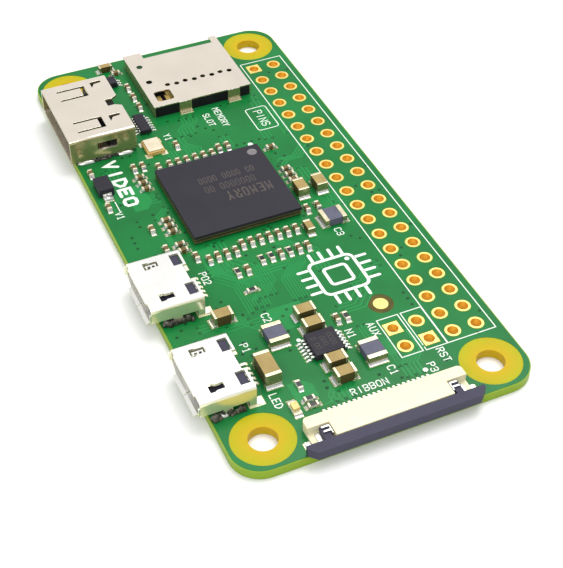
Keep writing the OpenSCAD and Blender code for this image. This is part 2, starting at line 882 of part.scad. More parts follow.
// Flared lips at the mouth of a small port
module port_lips() {
    lip_t = port_sheet * 0.7;
    side_from = port_shoulder + port_sheet;
    side_to = port_h - port_round - lip_rise / 2;
    roof_l = lip_l * 0.6;
    roof_rise = lip_rise / 2;
    side_l = lip_l * 0.7;
    side_rise = lip_rise * 0.6;
    // floor lip, split in the middle
    for (s = [0, 1])
        mirror([s, 0, 0])
            translate([seam_w / 2, port_mouth, 0])
                rotate([90, 0, 90])
                    linear_extrude(height = (port_foot_w - seam_w) / 2)
                        polygon([[join, 0], [join, lip_t], [-lip_l, lip_t - lip_rise], [-lip_l, -lip_rise]]);
    // roof lip
    translate([-port_foot_w / 2, port_mouth, port_h])
        rotate([90, 0, 90])
            linear_extrude(height = port_foot_w)
                polygon([[join, 0], [join, -lip_t], [-roof_l, roof_rise - lip_t], [-roof_l, roof_rise]]);
    // side lips
    for (s = [0, 1])
        mirror([s, 0, 0])
            translate([port_w / 2, port_mouth, side_from])
                linear_extrude(height = side_to - side_from)
                    polygon([[0, join], [-lip_t, join], [side_rise - lip_t, -side_l], [side_rise, -side_l]]);
}

module small_port_shell(x) {
    window_l = 1.45;
    window_w = 1.0;
    waist_w = 0.72;
    window_side = 2.35;
    window_y = port_mouth + 1.35;
    notch_w = 1.65;
    notch_l = 0.95;
    notch_back = 0.25;
    notch_side = 2.2;
    back_rim = 0.15;
    back_cut = 0.4;
    floor_open = [0.35, 0.9];
    corner_foot = [0.65, 0.7, 0.45];
    top_z = port_h - port_sheet - join;
    color(c_bright)
        translate([x, 0, board_t]) {
            difference() {
                along_y(port_mouth, port_rear)
                    port_outline(port_w, port_h, port_foot_w, port_shoulder, port_round);
                port_inside(port_mouth - past, port_rear + past);
                for (s = [-1, 1]) {
                    waist_window(s * window_side, window_y, window_l, window_w, waist_w, top_z, past);
                    translate([s * notch_side, 0, top_z])
                        box([-notch_w / 2, port_rear - notch_back - notch_l, 0],
                            [notch_w / 2, port_rear - notch_back, past]);
                }
                // back edge of the roof, cut back between the two dark notches
                box([-notch_side + notch_w / 2 + back_rim, port_rear - back_cut, top_z],
                    [notch_side - notch_w / 2 - back_rim, port_rear + past, top_z + past]);
                // open floor behind the block, for the tails
                box([-port_foot_w / 2 + floor_open[0], port_rear - floor_open[1], -past],
                    [port_foot_w / 2 - floor_open[0], port_rear + past, port_sheet + join]);
                // seam in the floor
                box([-seam_w / 2, port_mouth - past, -past],
                    [seam_w / 2, port_rear + past, port_sheet + join]);
            }
            port_lips();
            shell_tabs(port_w, port_sheet, port_mouth, port_shoulder, port_tabs);
            // corner feet at the back, soldered to the board
            for (s = [0, 1])
                mirror([s, 0, 0]) {
                    box([port_w / 2 - port_sheet, port_rear - corner_foot[1], 0],
                        [port_w / 2, port_rear - join, port_shoulder + port_sheet]);
                    box([port_w / 2 - corner_foot[0], port_rear - corner_foot[1], 0],
                        [port_w / 2, port_rear + corner_foot[2], port_sheet / 2]);
                }
        }
}

module small_contact_runs() {
    port_contact_set(port_contact_n, port_contact_pitch, port_contact_w, port_tongue_z,
                     port_mouth + port_tongue_in + blade_in, port_rear - port_block_in / 2,
                     port_rear + port_foot_out);
}

module small_port_insulator(x) {
    block_to = port_rear - port_block_in;
    block_from = block_to - port_block_d;
    color(c_slate)
        translate([x, 0, board_t])
            difference() {
                union() {
                    port_inside(block_from, block_to);
                    box([-port_tongue_w / 2, port_mouth + port_tongue_in, port_tongue_z],
                        [port_tongue_w / 2, block_from + join, port_tongue_z + port_tongue_t]);
                }
                small_contact_runs();
            }
}

module small_port_contacts(x) {
    color(c_gold) translate([x, 0, board_t]) small_contact_runs();
}

module data_port_shell() {
    small_port_shell(data_x);
}

module data_port_insulator() {
    small_port_insulator(data_x);
}

module data_port_contacts() {
    small_port_contacts(data_x);
}

module power_port_shell() {
    small_port_shell(power_x);
}

module power_port_insulator() {
    small_port_insulator(power_x);
}

module power_port_contacts() {
    small_port_contacts(power_x);
}

// ---- Card socket ----

module card_socket_cover() {
    half = card_w / 2;
    ear_low = 2.2;
    ear_high = 0.9;
    skirt_from = 0.5;
    color(c_steel)
        translate([0, card_y, board_t])
            difference() {
                union() {
                    // roof and ears
                    box([card_front + card_ear_l, -half, card_h - card_sheet], [card_back, half, card_h]);
                    box([card_front, -half, card_h - card_sheet], [card_back, -half + ear_low, card_h]);
                    box([card_front, half - ear_high, card_h - card_sheet], [card_back, half, card_h]);
                    // side skirts
                    both_ends()
                        box([card_front + skirt_from, half - card_sheet, card_skirt_z],
                            [card_back - card_sheet, half, card_h]);
                    // two tabs down the back wall, with feet
                    for (y = card_tab_y) {
                        box([card_back - join, y - card_y - card_tab_w / 2, 0],
                            [card_back + card_sheet, y - card_y + card_tab_w / 2, card_h]);
                        box([card_back - join, y - card_y - card_tab_w / 2, 0],
                            [card_back + card_tab_foot, y - card_y + card_tab_w / 2, card_sheet]);
                    }
                }
                // window over the detect spring
                translate([card_window_x, card_window_y - card_y, card_h - card_sheet - join])
                    round_plate(card_window[0], card_window[1], card_window_round, 0, past);
                // staggered holes over the contacts
                for (i = [0 : card_contact_n - 1])
                    translate([card_hole_x + (i % 2) * card_hole_stagger,
                               card_contact_y - card_y + (i - (card_contact_n - 1) / 2) * card_contact_pitch,
                               card_h - card_sheet - join])
                        cylinder(d = card_hole_d, h = past);
                for (x = card_pilot_x)
                    translate([x, -half + card_pilot_in, card_h - card_sheet - join])
                        cylinder(d = card_pilot_d, h = past);
            }
}

// Springs and tails of the card contacts
module card_contact_runs() {
    first_y = card_contact_y - card_y - (card_contact_n - 1) / 2 * card_contact_pitch;
    riser_x = card_back - card_riser_in;
    tip_z = card_h - card_sheet - card_tip_down;
    for (i = [0 : card_contact_n - 1])
        translate([0, first_y + i * card_contact_pitch, 0]) {
            box([riser_x, -card_contact_w / 2, 0],
                [card_back - 2 * card_clear, card_contact_w / 2, card_contact_t]);
            box([riser_x, -card_contact_w / 2, 0],
                [riser_x + card_contact_t, card_contact_w / 2, card_floor_t + card_contact_t]);
            box([spring_mid, -card_contact_w / 2, card_floor_t],
                [riser_x + card_contact_t, card_contact_w / 2, card_floor_t + card_contact_t]);
            translate([0, card_contact_w / 2, 0])
                rotate([90, 0, 0])
                    linear_extrude(height = card_contact_w)
                        polygon([
                            [spring_mid, card_floor_t],
                            [spring_mid + join, card_floor_t + card_contact_t],
                            [spring_from, tip_z],
                            [spring_from, tip_z - card_contact_t]
                        ]);
        }
}

module card_socket_base() {
    rail_w = 0.22;
    window_clear = 0.3;
    first_y = card_contact_y - card_y - (card_contact_n - 1) / 2 * card_contact_pitch;
    front = card_front + card_ear_l + card_sheet;
    roof = card_h - card_sheet - card_clear;
    color(c_black)
        translate([0, card_y, board_t])
            difference() {
                union() {
                    box([front, -card_half, 0], [card_back - card_clear, card_half, card_floor_t]);
                    box([card_back - card_wall_d, -card_half, 0], [card_back - card_clear, card_half, roof]);
                    both_ends()
                        box([front, card_half - rail_w, 0], [card_back - card_clear, card_half, roof]);
                }
                card_contact_runs();
                // windows in the floor under the springs
                for (i = [0 : card_contact_n - 1])
                    translate([0, first_y + i * card_contact_pitch, 0])
                        box([spring_from - window_clear, -card_contact_w / 2 - card_clear, -past],
                            [spring_mid - window_clear,
                             card_contact_w / 2 + card_clear,
                             card_floor_t + past]);
            }
}

module card_socket_contacts() {
    color(c_gold) translate([0, card_y, board_t]) card_contact_runs();
}

module card_socket_detect_spring() {
    spring_z = card_h - card_sheet - card_tip_down;
    spring_t = 0.12;
    blade_w = 0.5;
    blade_y = [-0.75, 0.2];
    from = card_window_x - card_window[0] / 2 + blade_w / 2;
    to = card_back - card_wall_d;
    color("#b79a4e")
        translate([0, card_window_y, board_t]) {
            for (y = blade_y)
                box([from, y, spring_z], [to, y + blade_w, spring_z + spring_t]);
            box([to - blade_w, blade_y[0], spring_z], [to, blade_y[1] + blade_w, spring_z + spring_t]);
        }
}

// ---- Ribbon connector ----

// Tails on the board and beams in the slot
module ribbon_contact_runs() {
    for (i = [0 : ribbon_count - 1])
        translate([0, (i - (ribbon_count - 1) / 2) * ribbon_pitch, 0]) {
            box([ribbon_rear - ribbon_tail_l, -ribbon_contact_w / 2, 0],
                [ribbon_rear + ribbon_riser_in, ribbon_contact_w / 2, foot_t]);
            box([ribbon_rear + ribbon_riser_in - foot_t, -ribbon_contact_w / 2, 0],
                [ribbon_rear + ribbon_riser_in, ribbon_contact_w / 2, ribbon_slot_z + foot_t]);
            box([ribbon_rear + ribbon_riser_in - foot_t, -ribbon_contact_w / 2, ribbon_slot_z],
                [ribbon_front - ribbon_riser_in, ribbon_contact_w / 2, ribbon_slot_z + foot_t]);
        }
}

// Metal holding tab in each end: foot, riser, floor, rib and prongs
module ribbon_tab_runs() {
    riser_y = recess_out - tab_wall_in;
    rib_y = recess_in + tab_rib_in;
    foot_from = recess_x + tab_foot_in;
    foot_to = ribbon_front - tab_foot_back;
    floor_from = recess_x + tab_wall_in;
    floor_to = ribbon_front - 2 * tab_foot_back;
    rib_top = latch_arm_z + latch_arm_t + latch_arm_clear + tab_sheet;
    prong_w = 0.2;
    prong_l = 0.8;
    both_ends() {
        box([foot_from, riser_y, 0], [foot_to, ribbon_w / 2 + tab_foot_l, tab_sheet]);
        box([foot_from, riser_y, 0], [foot_to, riser_y + tab_sheet, recess_z + tab_sheet]);
        box([floor_from, rib_y, recess_z], [floor_to, riser_y + tab_sheet, recess_z + tab_sheet]);
        box([floor_from, rib_y, recess_z], [floor_to, rib_y + tab_sheet, rib_top]);
        // prongs that reach over the latch's arm
        for (x = [floor_from, (floor_from + floor_to) / 2])
            box([x, rib_y, rib_top - tab_sheet], [x + prong_w, rib_y + prong_l, rib_top]);
    }
}

module ribbon_housing() {
    corner = 0.45;
    color(c_ivory)
        translate([0, 0, board_t])
            difference() {
                union() {
                    box([ribbon_rear + corner, -ribbon_w / 2, 0],
                        [ribbon_front, ribbon_w / 2, ribbon_h]);
                    box([ribbon_rear, -ribbon_w / 2 + corner, 0],
                        [ribbon_front, ribbon_w / 2 - corner, ribbon_h]);
                    for (s = [-1, 1])
                        translate([ribbon_rear + corner, s * (ribbon_w / 2 - corner), 0])
                            cylinder(r = corner, h = ribbon_h);
                }
                // slot for the ribbon
                box([ribbon_rear + ribbon_slot_in, -ribbon_slot_w / 2, ribbon_slot_z],
                    [ribbon_front + past, ribbon_slot_w / 2, ribbon_slot_z + ribbon_slot_t]);
                both_ends() {
                    // recess over the holding tab, open to the latch and to the side
                    box([recess_x, recess_in, recess_z],
                        [ribbon_front + past, ribbon_w / 2 + past, ribbon_h + past]);
                }
                ribbon_contact_runs();
                ribbon_tab_runs();
            }
}

module ribbon_latch() {
    top = ribbon_h - 0.1;
    under = 0.08;
    tongue_t = 0.22;
    tongue_z = ribbon_slot_z + ribbon_slot_t - tongue_t - latch_arm_clear;
    tongue_clear = 0.1;
    front = latch_rear + latch_d;
    color(c_slate)
        translate([0, 0, board_t]) {
            translate([0, 0, under])
                linear_extrude(height = top - under)
                    polygon([
                        [latch_rear, -latch_w / 2],
                        [front - latch_chamfer, -latch_w / 2],
                        [front, -latch_w / 2 + latch_chamfer],
                        [front, latch_w / 2 - latch_chamfer],
                        [front - latch_chamfer, latch_w / 2],
                        [latch_rear, latch_w / 2]
                    ]);
            box([ribbon_rear + 2 * ribbon_slot_in, -ribbon_slot_w / 2 + tongue_clear, tongue_z],
                [latch_rear + join, ribbon_slot_w / 2 - tongue_clear, tongue_z + tongue_t]);
            both_ends()
                box([recess_x + tongue_clear, latch_arm_y, latch_arm_z],
                    [latch_rear + join, latch_arm_y + latch_arm_w, latch_arm_z + latch_arm_t]);
        }
}

module ribbon_contacts() {
    color(c_gold) translate([0, 0, board_t]) ribbon_contact_runs();
}

module ribbon_solder_tabs() {
    color(c_solder) translate([0, 0, board_t]) ribbon_tab_runs();
}

// ---- Chips ----

// Bodies between the metal ends, a little slimmer than the ends
module chip_bodies(places) {
    for (p = places) {
        size = p[3];
        half = size[0] / 2 - size[3];
        place_chip(p)
            box([-half, -size[1] / 2 + slim, board_t + slim],
                [half, size[1] / 2 - slim, board_t + size[2] - slim]);
    }
}

// Metal ends of chips
module chip_ends(places) {
    for (p = places) {
        size = p[3];
        place_chip(p)
            for (s = [0, 1])
                mirror([s, 0, 0])
                    box([size[0] / 2 - size[3], -size[1] / 2, board_t],
                        [size[0] / 2, size[1] / 2, board_t + size[2]]);
    }
}

module inductor_cores() {
    color("#77778a") chip_bodies(inductor_places);
}

module inductor_ends() {
    color(c_solder) chip_ends(inductor_places);
}

module small_capacitor_bodies() {
    color(c_tan) chip_bodies(small_capacitor_places);
}

module small_capacitor_ends() {
    color(c_solder) chip_ends(small_capacitor_places);
}

module power_capacitor_bodies() {
    color(c_tan) chip_bodies(power_capacitor_places);
}

module power_capacitor_ends() {
    color(c_solder) chip_ends(power_capacitor_places);
}

module resistor_bodies() {
    size = chip_0402_flat;
    half = size[0] / 2 - size[3];
    color("#e8e6de")
        for (p = resistor_places)
            place_chip(p)
                box([-half, -size[1] / 2 + slim, board_t + slim],
                    [half, size[1] / 2 - slim, board_t + size[2] - resistor_coat_t]);
}

module resistor_coats() {
    size = chip_0402_flat;
    half = size[0] / 2 - size[3];
    color(c_black)
        for (p = resistor_places)
            place_chip(p)
                box([-half, -size[1] / 2 + 2 * slim, board_t + size[2] - resistor_coat_t],
                    [half, size[1] / 2 - 2 * slim, board_t + size[2]]);
}

module resistor_ends() {
    color(c_solder) chip_ends(resistor_places);
}

module lamp_base() {
    size = chip_lamp;
    color("#f0ecd8")
        translate([lamp_places[0][0], lamp_places[0][1], board_t])
            box([-size[0] / 2 + size[3], -size[1] / 2, 0], [size[0] / 2 - size[3], size[1] / 2, lamp_base_t]);
}

module lamp_lens() {
    size = chip_lamp;
    color("#f3f0b8")
        translate([lamp_places[0][0], lamp_places[0][1], board_t])
            box([-size[0] / 2 + size[3] + lamp_rim, -size[1] / 2 + lamp_rim, lamp_base_t],
                [size[0] / 2 - size[3] - lamp_rim, size[1] / 2 - lamp_rim, size[2]]);
}

module lamp_ends() {
    size = [chip_lamp[0], chip_lamp[1], lamp_base_t, chip_lamp[3]];
    color(c_solder) chip_ends([[lamp_places[0][0], lamp_places[0][1], 0, size]]);
}

// Body of a leaded package, lifted a little off the board
module leaded_body(c) {
    translate([c[0], c[1], board_t]) box([-c[2] / 2, -c[3] / 2, lift], [c[2] / 2, c[3] / 2, c[4]]);
}

// Formed leads of a leaded package: shoulder, drop and foot
module leaded_leads(c) {
    translate([c[0], c[1], board_t])
        both_ends()
            for (i = [0 : c[5] - 1])
                translate([(i - (c[5] - 1) / 2) * c[6], c[3] / 2, 0]) {
                    foot_from = c[7] - lead_foot_l;
                    box([-c[8] / 2, 0, lead_root_z], [c[8] / 2, foot_from, lead_root_z + foot_t]);
                    box([-c[8] / 2, foot_from - foot_t, 0], [c[8] / 2, foot_from, lead_root_z + foot_t]);
                    box([-c[8] / 2, foot_from - foot_t, 0], [c[8] / 2, c[7], foot_t]);
                }
}

module regulator_body() {
    color(c_black) leaded_body(regulator);
}

module regulator_leads() {
    color(c_solder) leaded_leads(regulator);
}

module protection_array_body() {
    color(c_black) leaded_body(array_chip);
}

module protection_array_leads() {
    color(c_solder) leaded_leads(array_chip);
}

module small_chip_body() {
    color(c_black) leaded_body(small_chip);
}

module small_chip_leads() {
    color(c_solder) leaded_leads(small_chip);
}

module crystal_base() {
    color("#d9c07a")
        translate([crystal_x, crystal_y, board_t])
            box([-crystal_size[0] / 2, -crystal_size[1] / 2, 0],
                [crystal_size[0] / 2, crystal_size[1] / 2, crystal_size[2] - crystal_lid_t]);
}

module crystal_lid() {
    half_l = crystal_size[0] / 2 - crystal_lid_rim;
    half_w = crystal_size[1] / 2 - crystal_lid_rim;
    color("#efe6d2")
        translate([crystal_x, crystal_y, board_t + crystal_size[2] - crystal_lid_t])
            box([-half_l, -half_w, 0], [half_l, half_w, crystal_lid_t]);
}

module diode_body() {
    color(c_black)
        translate([diode_x, diode_y, board_t])
            box([-diode_size[0] / 2, -diode_size[1] / 2, lift],
                [diode_size[0] / 2, diode_size[1] / 2, diode_size[2]]);
}

module diode_leads() {
    color(c_solder)
        translate([diode_x, diode_y, board_t])
            for (s = [0, 1])
                mirror([s, 0, 0])
                    translate([diode_size[0] / 2, 0, 0]) {
                        box([0, -diode_lead_w / 2, 0], [diode_lead_l, diode_lead_w / 2, foot_t]);
                        box([0, -diode_lead_w / 2, 0], [foot_t, diode_lead_w / 2, diode_size[2] / 2]);
                    }
}

board_core();
solder_mask_top();
solder_mask_bottom();
header_plated_holes();
aux_plated_holes();
smd_lands();
fiducial_dot();
test_pads();
processor_balls();
processor_substrate();
processor_mould();
memory_balls();
memory_substrate();
memory_mould();
video_port_shell();
video_port_insulator();
video_port_contacts();
data_port_shell();
data_port_insulator();
data_port_contacts();
power_port_shell();
power_port_insulator();
power_port_contacts();
card_socket_cover();
card_socket_base();
card_socket_contacts();
card_socket_detect_spring();
ribbon_housing();
ribbon_latch();
ribbon_contacts();
ribbon_solder_tabs();
crystal_base();
crystal_lid();
regulator_body();
regulator_leads();
inductor_cores();
inductor_ends();
small_capacitor_bodies();
small_capacitor_ends();
power_capacitor_bodies();
power_capacitor_ends();
resistor_bodies();
resistor_coats();
resistor_ends();
diode_body();
diode_leads();
lamp_base();
lamp_lens();
lamp_ends();
protection_array_body();
protection_array_leads();
small_chip_body();
small_chip_leads();
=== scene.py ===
import functools
import json
import math
import random

import bmesh
import bpy
from bpy.props import FloatProperty, FloatVectorProperty, IntProperty, PointerProperty
from mathutils import Matrix, Vector


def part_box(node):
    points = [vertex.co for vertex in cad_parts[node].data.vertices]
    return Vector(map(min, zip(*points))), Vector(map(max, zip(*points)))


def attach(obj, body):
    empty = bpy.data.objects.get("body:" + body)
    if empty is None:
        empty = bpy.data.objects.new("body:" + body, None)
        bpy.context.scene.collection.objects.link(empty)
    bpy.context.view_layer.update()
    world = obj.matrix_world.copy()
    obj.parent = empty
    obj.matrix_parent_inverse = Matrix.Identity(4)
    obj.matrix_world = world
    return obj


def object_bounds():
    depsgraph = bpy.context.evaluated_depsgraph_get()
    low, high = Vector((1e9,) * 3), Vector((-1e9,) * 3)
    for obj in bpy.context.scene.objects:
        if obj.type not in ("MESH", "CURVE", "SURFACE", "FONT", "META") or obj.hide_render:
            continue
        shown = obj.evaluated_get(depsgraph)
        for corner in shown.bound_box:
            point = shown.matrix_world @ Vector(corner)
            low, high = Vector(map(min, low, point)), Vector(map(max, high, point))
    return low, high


bl_info = {
    "name": "Single board computer",
    "version": (1, 0, 0),
    "blender": (4, 5, 0),
    "location": "View3D > Sidebar > Board",
    "description": "Finishes and small parts of a single board computer around its packed frame",
    "category": "Object",
}

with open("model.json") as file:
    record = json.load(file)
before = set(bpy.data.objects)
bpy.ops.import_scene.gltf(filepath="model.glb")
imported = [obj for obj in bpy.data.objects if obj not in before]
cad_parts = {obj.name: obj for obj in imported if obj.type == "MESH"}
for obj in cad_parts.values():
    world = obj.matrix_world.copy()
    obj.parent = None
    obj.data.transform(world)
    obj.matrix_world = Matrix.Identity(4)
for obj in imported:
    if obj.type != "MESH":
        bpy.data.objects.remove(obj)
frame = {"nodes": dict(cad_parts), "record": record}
CAD_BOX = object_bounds()
NODES = frame["nodes"]
MOUNTS = {m["name"]: m for m in frame["record"]["mounts"]}
MM = 0.001
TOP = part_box("solder_mask_top")[1].z
BODY = "board"

# Distances that tracks and vias keep
HOLE_KEEP_OUT = 3.3 * MM
TRACK_TO_LAND = 0.14 * MM
TRACK_VIA_TO_LAND = 0.34 * MM
LOOSE_VIA_TO_LAND = 0.3 * MM
VIA_TO_VIA = 0.5 * MM
SHORTEST_TRACK = 0.9 * MM
MARGIN_X = 1.6 * MM
MARGIN_Y = 0.8 * MM
FIDUCIAL_WINDOW_RADIUS = 1.29 * MM

# ---- Colours ----


def tone(r, g, b):
    """A linear colour from red, green and blue of 0 to 255 as a screen shows them."""
    return tuple((c / 255 / 12.92) if c <= 10 else ((c / 255 + 0.055) / 1.055) ** 2.4 for c in (r, g, b))


def shade(colour, factor):
    """The same colour, lighter or darker."""
    return tuple(min(1.0, c * factor) for c in colour)


def colour_setting(name, description, default):
    return FloatVectorProperty(
        name=name, description=description, default=default, subtype="COLOR", size=3, min=0, max=1
    )


def length_setting(name, description, default):
    return FloatProperty(
        name=name, description=description, default=default, min=0, precision=6, unit="LENGTH", subtype="DISTANCE"
    )


class BoardFinishes(bpy.types.PropertyGroup):
    mask: colour_setting("Solder mask", "Green lacquer over bare laminate", tone(16, 118, 54))
    mask_copper: colour_setting("Mask over copper", "Green lacquer where copper lies under it", tone(26, 134, 66))
    laminate: colour_setting("Laminate", "Bare glass laminate at the rings and edges", tone(164, 170, 0))
    legend: colour_setting("Legend", "Printed lines and words", tone(236, 242, 232))
    gold: colour_setting("Gold plate", "Plated holes, lands and pads", tone(250, 224, 132))
    solder: colour_setting("Solder", "Tinned ends and fillets", tone(224, 224, 220))
    port_steel: colour_setting("Port steel", "Video port's shell and card socket's cover", tone(236, 226, 212))
    bright_steel: colour_setting("Bright steel", "Shells of the small ports", tone(250, 249, 246))
    mould: colour_setting("Mould compound", "Tops of the chips", tone(44, 42, 50))
    slate: colour_setting("Slate plastic", "Latch and blocks of the small ports", tone(62, 60, 78))
    black: colour_setting("Black plastic", "Blocks inside the video port and card socket", tone(26, 25, 29))
    ivory: colour_setting("Ivory plastic", "Housing of the ribbon connector", tone(232, 226, 190))
    tan: colour_setting("Capacitor ceramic", "Bodies of the capacitors", tone(118, 98, 62))
    ferrite: colour_setting("Ferrite", "Bodies of the inductors", tone(96, 96, 114))


class BoardSizes(bpy.types.PropertyGroup):
    legend_line: length_setting("Legend line", "Width of a printed line", 0.105 * MM)
    legend_thick: length_setting("Legend thickness", "How far the print stands on the mask", 0.012 * MM)
    letter_height: length_setting("Letter height", "Height of the small capitals", 0.82 * MM)
    track_width: length_setting("Track width", "Width of a thin track under the mask", 0.2 * MM)
    track_relief: length_setting("Track relief", "How far the mask rises over a track", 0.008 * MM)
    via_width: length_setting("Via width", "Diameter of a covered via", 0.34 * MM)
    via_count: IntProperty(name="Vias", description="Covered vias tried between the parts", default=330, min=0)
    chip_round: length_setting("Chip rounding", "Rounding of chip ends and bodies", 0.045 * MM)
    sheet_round: length_setting("Sheet rounding", "Rounding of bent and cut sheet metal", 0.035 * MM)
    plastic_round: length_setting("Plastic rounding", "Rounding of moulded edges", 0.05 * MM)
    fillet_steps: IntProperty(name="Fillet steps", description="Rings in a solder fillet", default=5, min=2, max=12)


class StageSettings(bpy.types.PropertyGroup):
    camera_from: FloatVectorProperty(
        name="Camera from", description="Where the camera stands", subtype="XYZ", unit="LENGTH", size=3, precision=5,
        default=(0.09366, -0.03846, 0.0859),
    )
    camera_to: FloatVectorProperty(
        name="Camera to", description="Point that the camera looks at", subtype="XYZ", unit="LENGTH", size=3,
        precision=5, default=(0.0117, -0.00205, 0.001),
    )
    lens: FloatProperty(name="Lens", description="Focal length in millimetres", default=79.29, min=10, max=300)
    room_light: FloatProperty(name="Room light", description="Strength of the even white light", default=0.8, min=0)
    lamp_power: FloatProperty(name="Lamp power", description="Power of the large soft lamp", default=0.75, min=0)
    floor: colour_setting("Floor", "Plain pale floor", (0.86, 0.86, 0.86))


def finishes():
    return bpy.context.scene.board_finishes


def sizes():
    return bpy.context.scene.board_sizes


# ---- Shader groups shared by the finishes ----


def new_group(name, inputs, outputs):
    """An empty group with named sockets, and its input and output nodes."""
    group = bpy.data.node_groups.new(name, "ShaderNodeTree")
    for socket, kind, value in inputs:
        made = group.interface.new_socket(name=socket, in_out="INPUT", socket_type="NodeSocket" + kind)
        made.default_value = value
    for socket, kind in outputs:
        group.interface.new_socket(name=socket, in_out="OUTPUT", socket_type="NodeSocket" + kind)
    return group, group.nodes.new("NodeGroupInput").outputs, group.nodes.new("NodeGroupOutput").inputs


def feed(tree, socket, value):
    """Links a socket to an output, or sets it to a number, a vector or a colour."""
    if isinstance(value, bpy.types.NodeSocket):
        tree.links.new(value, socket)
    else:
        socket.default_value = (*value[:3], 1) if socket.type == "RGBA" else value


def add_math(tree, operation, first, second=0.0, clamp=False):
    node = tree.nodes.new("ShaderNodeMath")
    node.operation = operation
    node.use_clamp = clamp
    feed(tree, node.inputs[0], first)
    feed(tree, node.inputs[1], second)
    return node.outputs[0]


def add_vector_math(tree, operation, first, second=(0.0, 0.0, 0.0), output="Vector"):
    node = tree.nodes.new("ShaderNodeVectorMath")
    node.operation = operation
    feed(tree, node.inputs[0], first)
    feed(tree, node.inputs[1], second)
    return node.outputs[output]


def add_mix(tree, factor, first, second):
    node = tree.nodes.new("ShaderNodeMix")
    node.data_type = "RGBA"
    for number, value in ((0, factor), (6, first), (7, second)):
        feed(tree, node.inputs[number], value)
    return node.outputs[2]


def place_on_object(tree):
    return tree.nodes.new("ShaderNodeTexCoord").outputs["Object"]


def true_normal(tree):
    return tree.nodes.new("ShaderNodeNewGeometry").outputs["True Normal"]


def add_noise(tree, scale, detail=3.0, rough=0.55, vector=None):
    node = tree.nodes.new("ShaderNodeTexNoise")
    place = place_on_object(tree) if vector is None else vector
    for name, value in (("Scale", scale), ("Detail", detail), ("Roughness", rough), ("Vector", place)):
        feed(tree, node.inputs[name], value)
    return node.outputs["Fac"]


def mottled_colour_group():
    """Two tones that drift into each other, with fine specks."""
    group, given, out = new_group(
        "Mottled colour",
        [
            ("Light", "Color", (1, 1, 1, 1)),
            ("Dark", "Color", (0, 0, 0, 1)),
            ("Patch scale", "Float", 400.0),
            ("Speck scale", "Float", 9000.0),
            ("Speck share", "Float", 0.3),
        ],
        [("Colour", "Color")],
    )
    patches = add_noise(group, given["Patch scale"], 4.0)
    specks = add_noise(group, given["Speck scale"], 2.0, 0.7)
    spread = add_math(group, "MULTIPLY", add_math(group, "SUBTRACT", patches, 0.5), 2.2)
    fine = add_math(group, "MULTIPLY", add_math(group, "SUBTRACT", specks, 0.5), given["Speck share"])
    factor = add_math(group, "ADD", add_math(group, "ADD", spread, 0.5), add_math(group, "MULTIPLY", fine, 3.0), True)
    feed(group, out["Colour"], add_mix(group, factor, given["Dark"], given["Light"]))
    return group


def spread_roughness(group, lines, drift_scale, given, out):
    """Roughness that changes with the lines of a grain and with a slow drift, and the grain's height."""
    drift = add_noise(group, drift_scale, 2.0)
    both = add_math(group, "SUBTRACT", add_math(group, "ADD", lines, drift), 1.0)
    change = add_math(group, "MULTIPLY", both, given["Spread"])
    feed(group, out["Roughness"], add_math(group, "ADD", change, given["Roughness"], True))
    feed(group, out["Height"], lines)


def fine_grain_group():
    """Roughness that changes over the surface, and the height of the grain."""
    group, given, out = new_group(
        "Fine grain",
        [("Scale", "Float", 9000.0), ("Roughness", "Float", 0.5), ("Spread", "Float", 0.2)],
        [("Roughness", "Float"), ("Height", "Float")],
    )
    spread_roughness(group, add_noise(group, given["Scale"], 4.0, 0.6), 700.0, given, out)
    return group


def brushed_grain_group():
    """Long fine lines left by rolling and drawing sheet metal."""
    group, given, out = new_group(
        "Brushed grain",
        [
            ("Stretch", "Vector", (1.0, 0.06, 1.0)),
            ("Scale", "Float", 9000.0),
            ("Roughness", "Float", 0.3),
            ("Spread", "Float", 0.2),
        ],
        [("Roughness", "Float"), ("Height", "Float")],
    )
    stretched = add_vector_math(group, "MULTIPLY", place_on_object(group), given["Stretch"])
    spread_roughness(group, add_noise(group, given["Scale"], 3.0, 0.5, stretched), 500.0, given, out)
    return group


def edge_highlight_and_wear_group():
    """A mask that is 1 along sharp edges, broken up by noise: a painted highlight along the edges, with some wear."""
    group, given, out = new_group(
        "Edge wear", [("Width", "Float", 0.08 * MM), ("Gain", "Float", 4.0)], [("Mask", "Float")]
    )
    bevel = group.nodes.new("ShaderNodeBevel")
    bevel.samples = 4
    feed(group, bevel.inputs["Radius"], given["Width"])
    likeness = add_vector_math(group, "DOT_PRODUCT", bevel.outputs["Normal"], true_normal(group), "Value")
    edge = add_math(group, "MULTIPLY", add_math(group, "SUBTRACT", 1.0, likeness), given["Gain"])
    broken = add_math(group, "ADD", add_noise(group, 6000.0, 3.0), 0.25)
    feed(group, out["Mask"], add_math(group, "MULTIPLY", edge, broken, True))
    return group


def up_facing_group():
    """A mask that is 1 on faces that look up or down and 0 on walls."""
    group, given, out = new_group("Up facing", [("Limit", "Float", 0.6)], [("Mask", "Float")])
    split = group.nodes.new("ShaderNodeSeparateXYZ")
    feed(group, split.inputs[0], true_normal(group))
    slope = add_math(group, "ABSOLUTE", split.outputs["Z"])
    feed(group, out["Mask"], add_math(group, "GREATER_THAN", slope, given["Limit"]))
    return group


def hole_distance_group():
    """How far a point is from the nearest mounting hole, as a share of the bare ring's width."""
    group, given, out = new_group(
        "Hole distance", [("Hole radius", "Float", 1.4 * MM), ("Ring width", "Float", 1.7 * MM)], [("Mask", "Float")]
    )
    middle = (*hole_corner(), 0.5 * MM)
    folded = add_vector_math(group, "ABSOLUTE", place_on_object(group))
    away = add_vector_math(group, "SUBTRACT", folded, middle)
    distance = add_vector_math(group, "LENGTH", away, output="Value")
    past_hole = add_math(group, "SUBTRACT", distance, given["Hole radius"])
    feed(group, out["Mask"], add_math(group, "DIVIDE", past_hole, given["Ring width"], True))
    return group


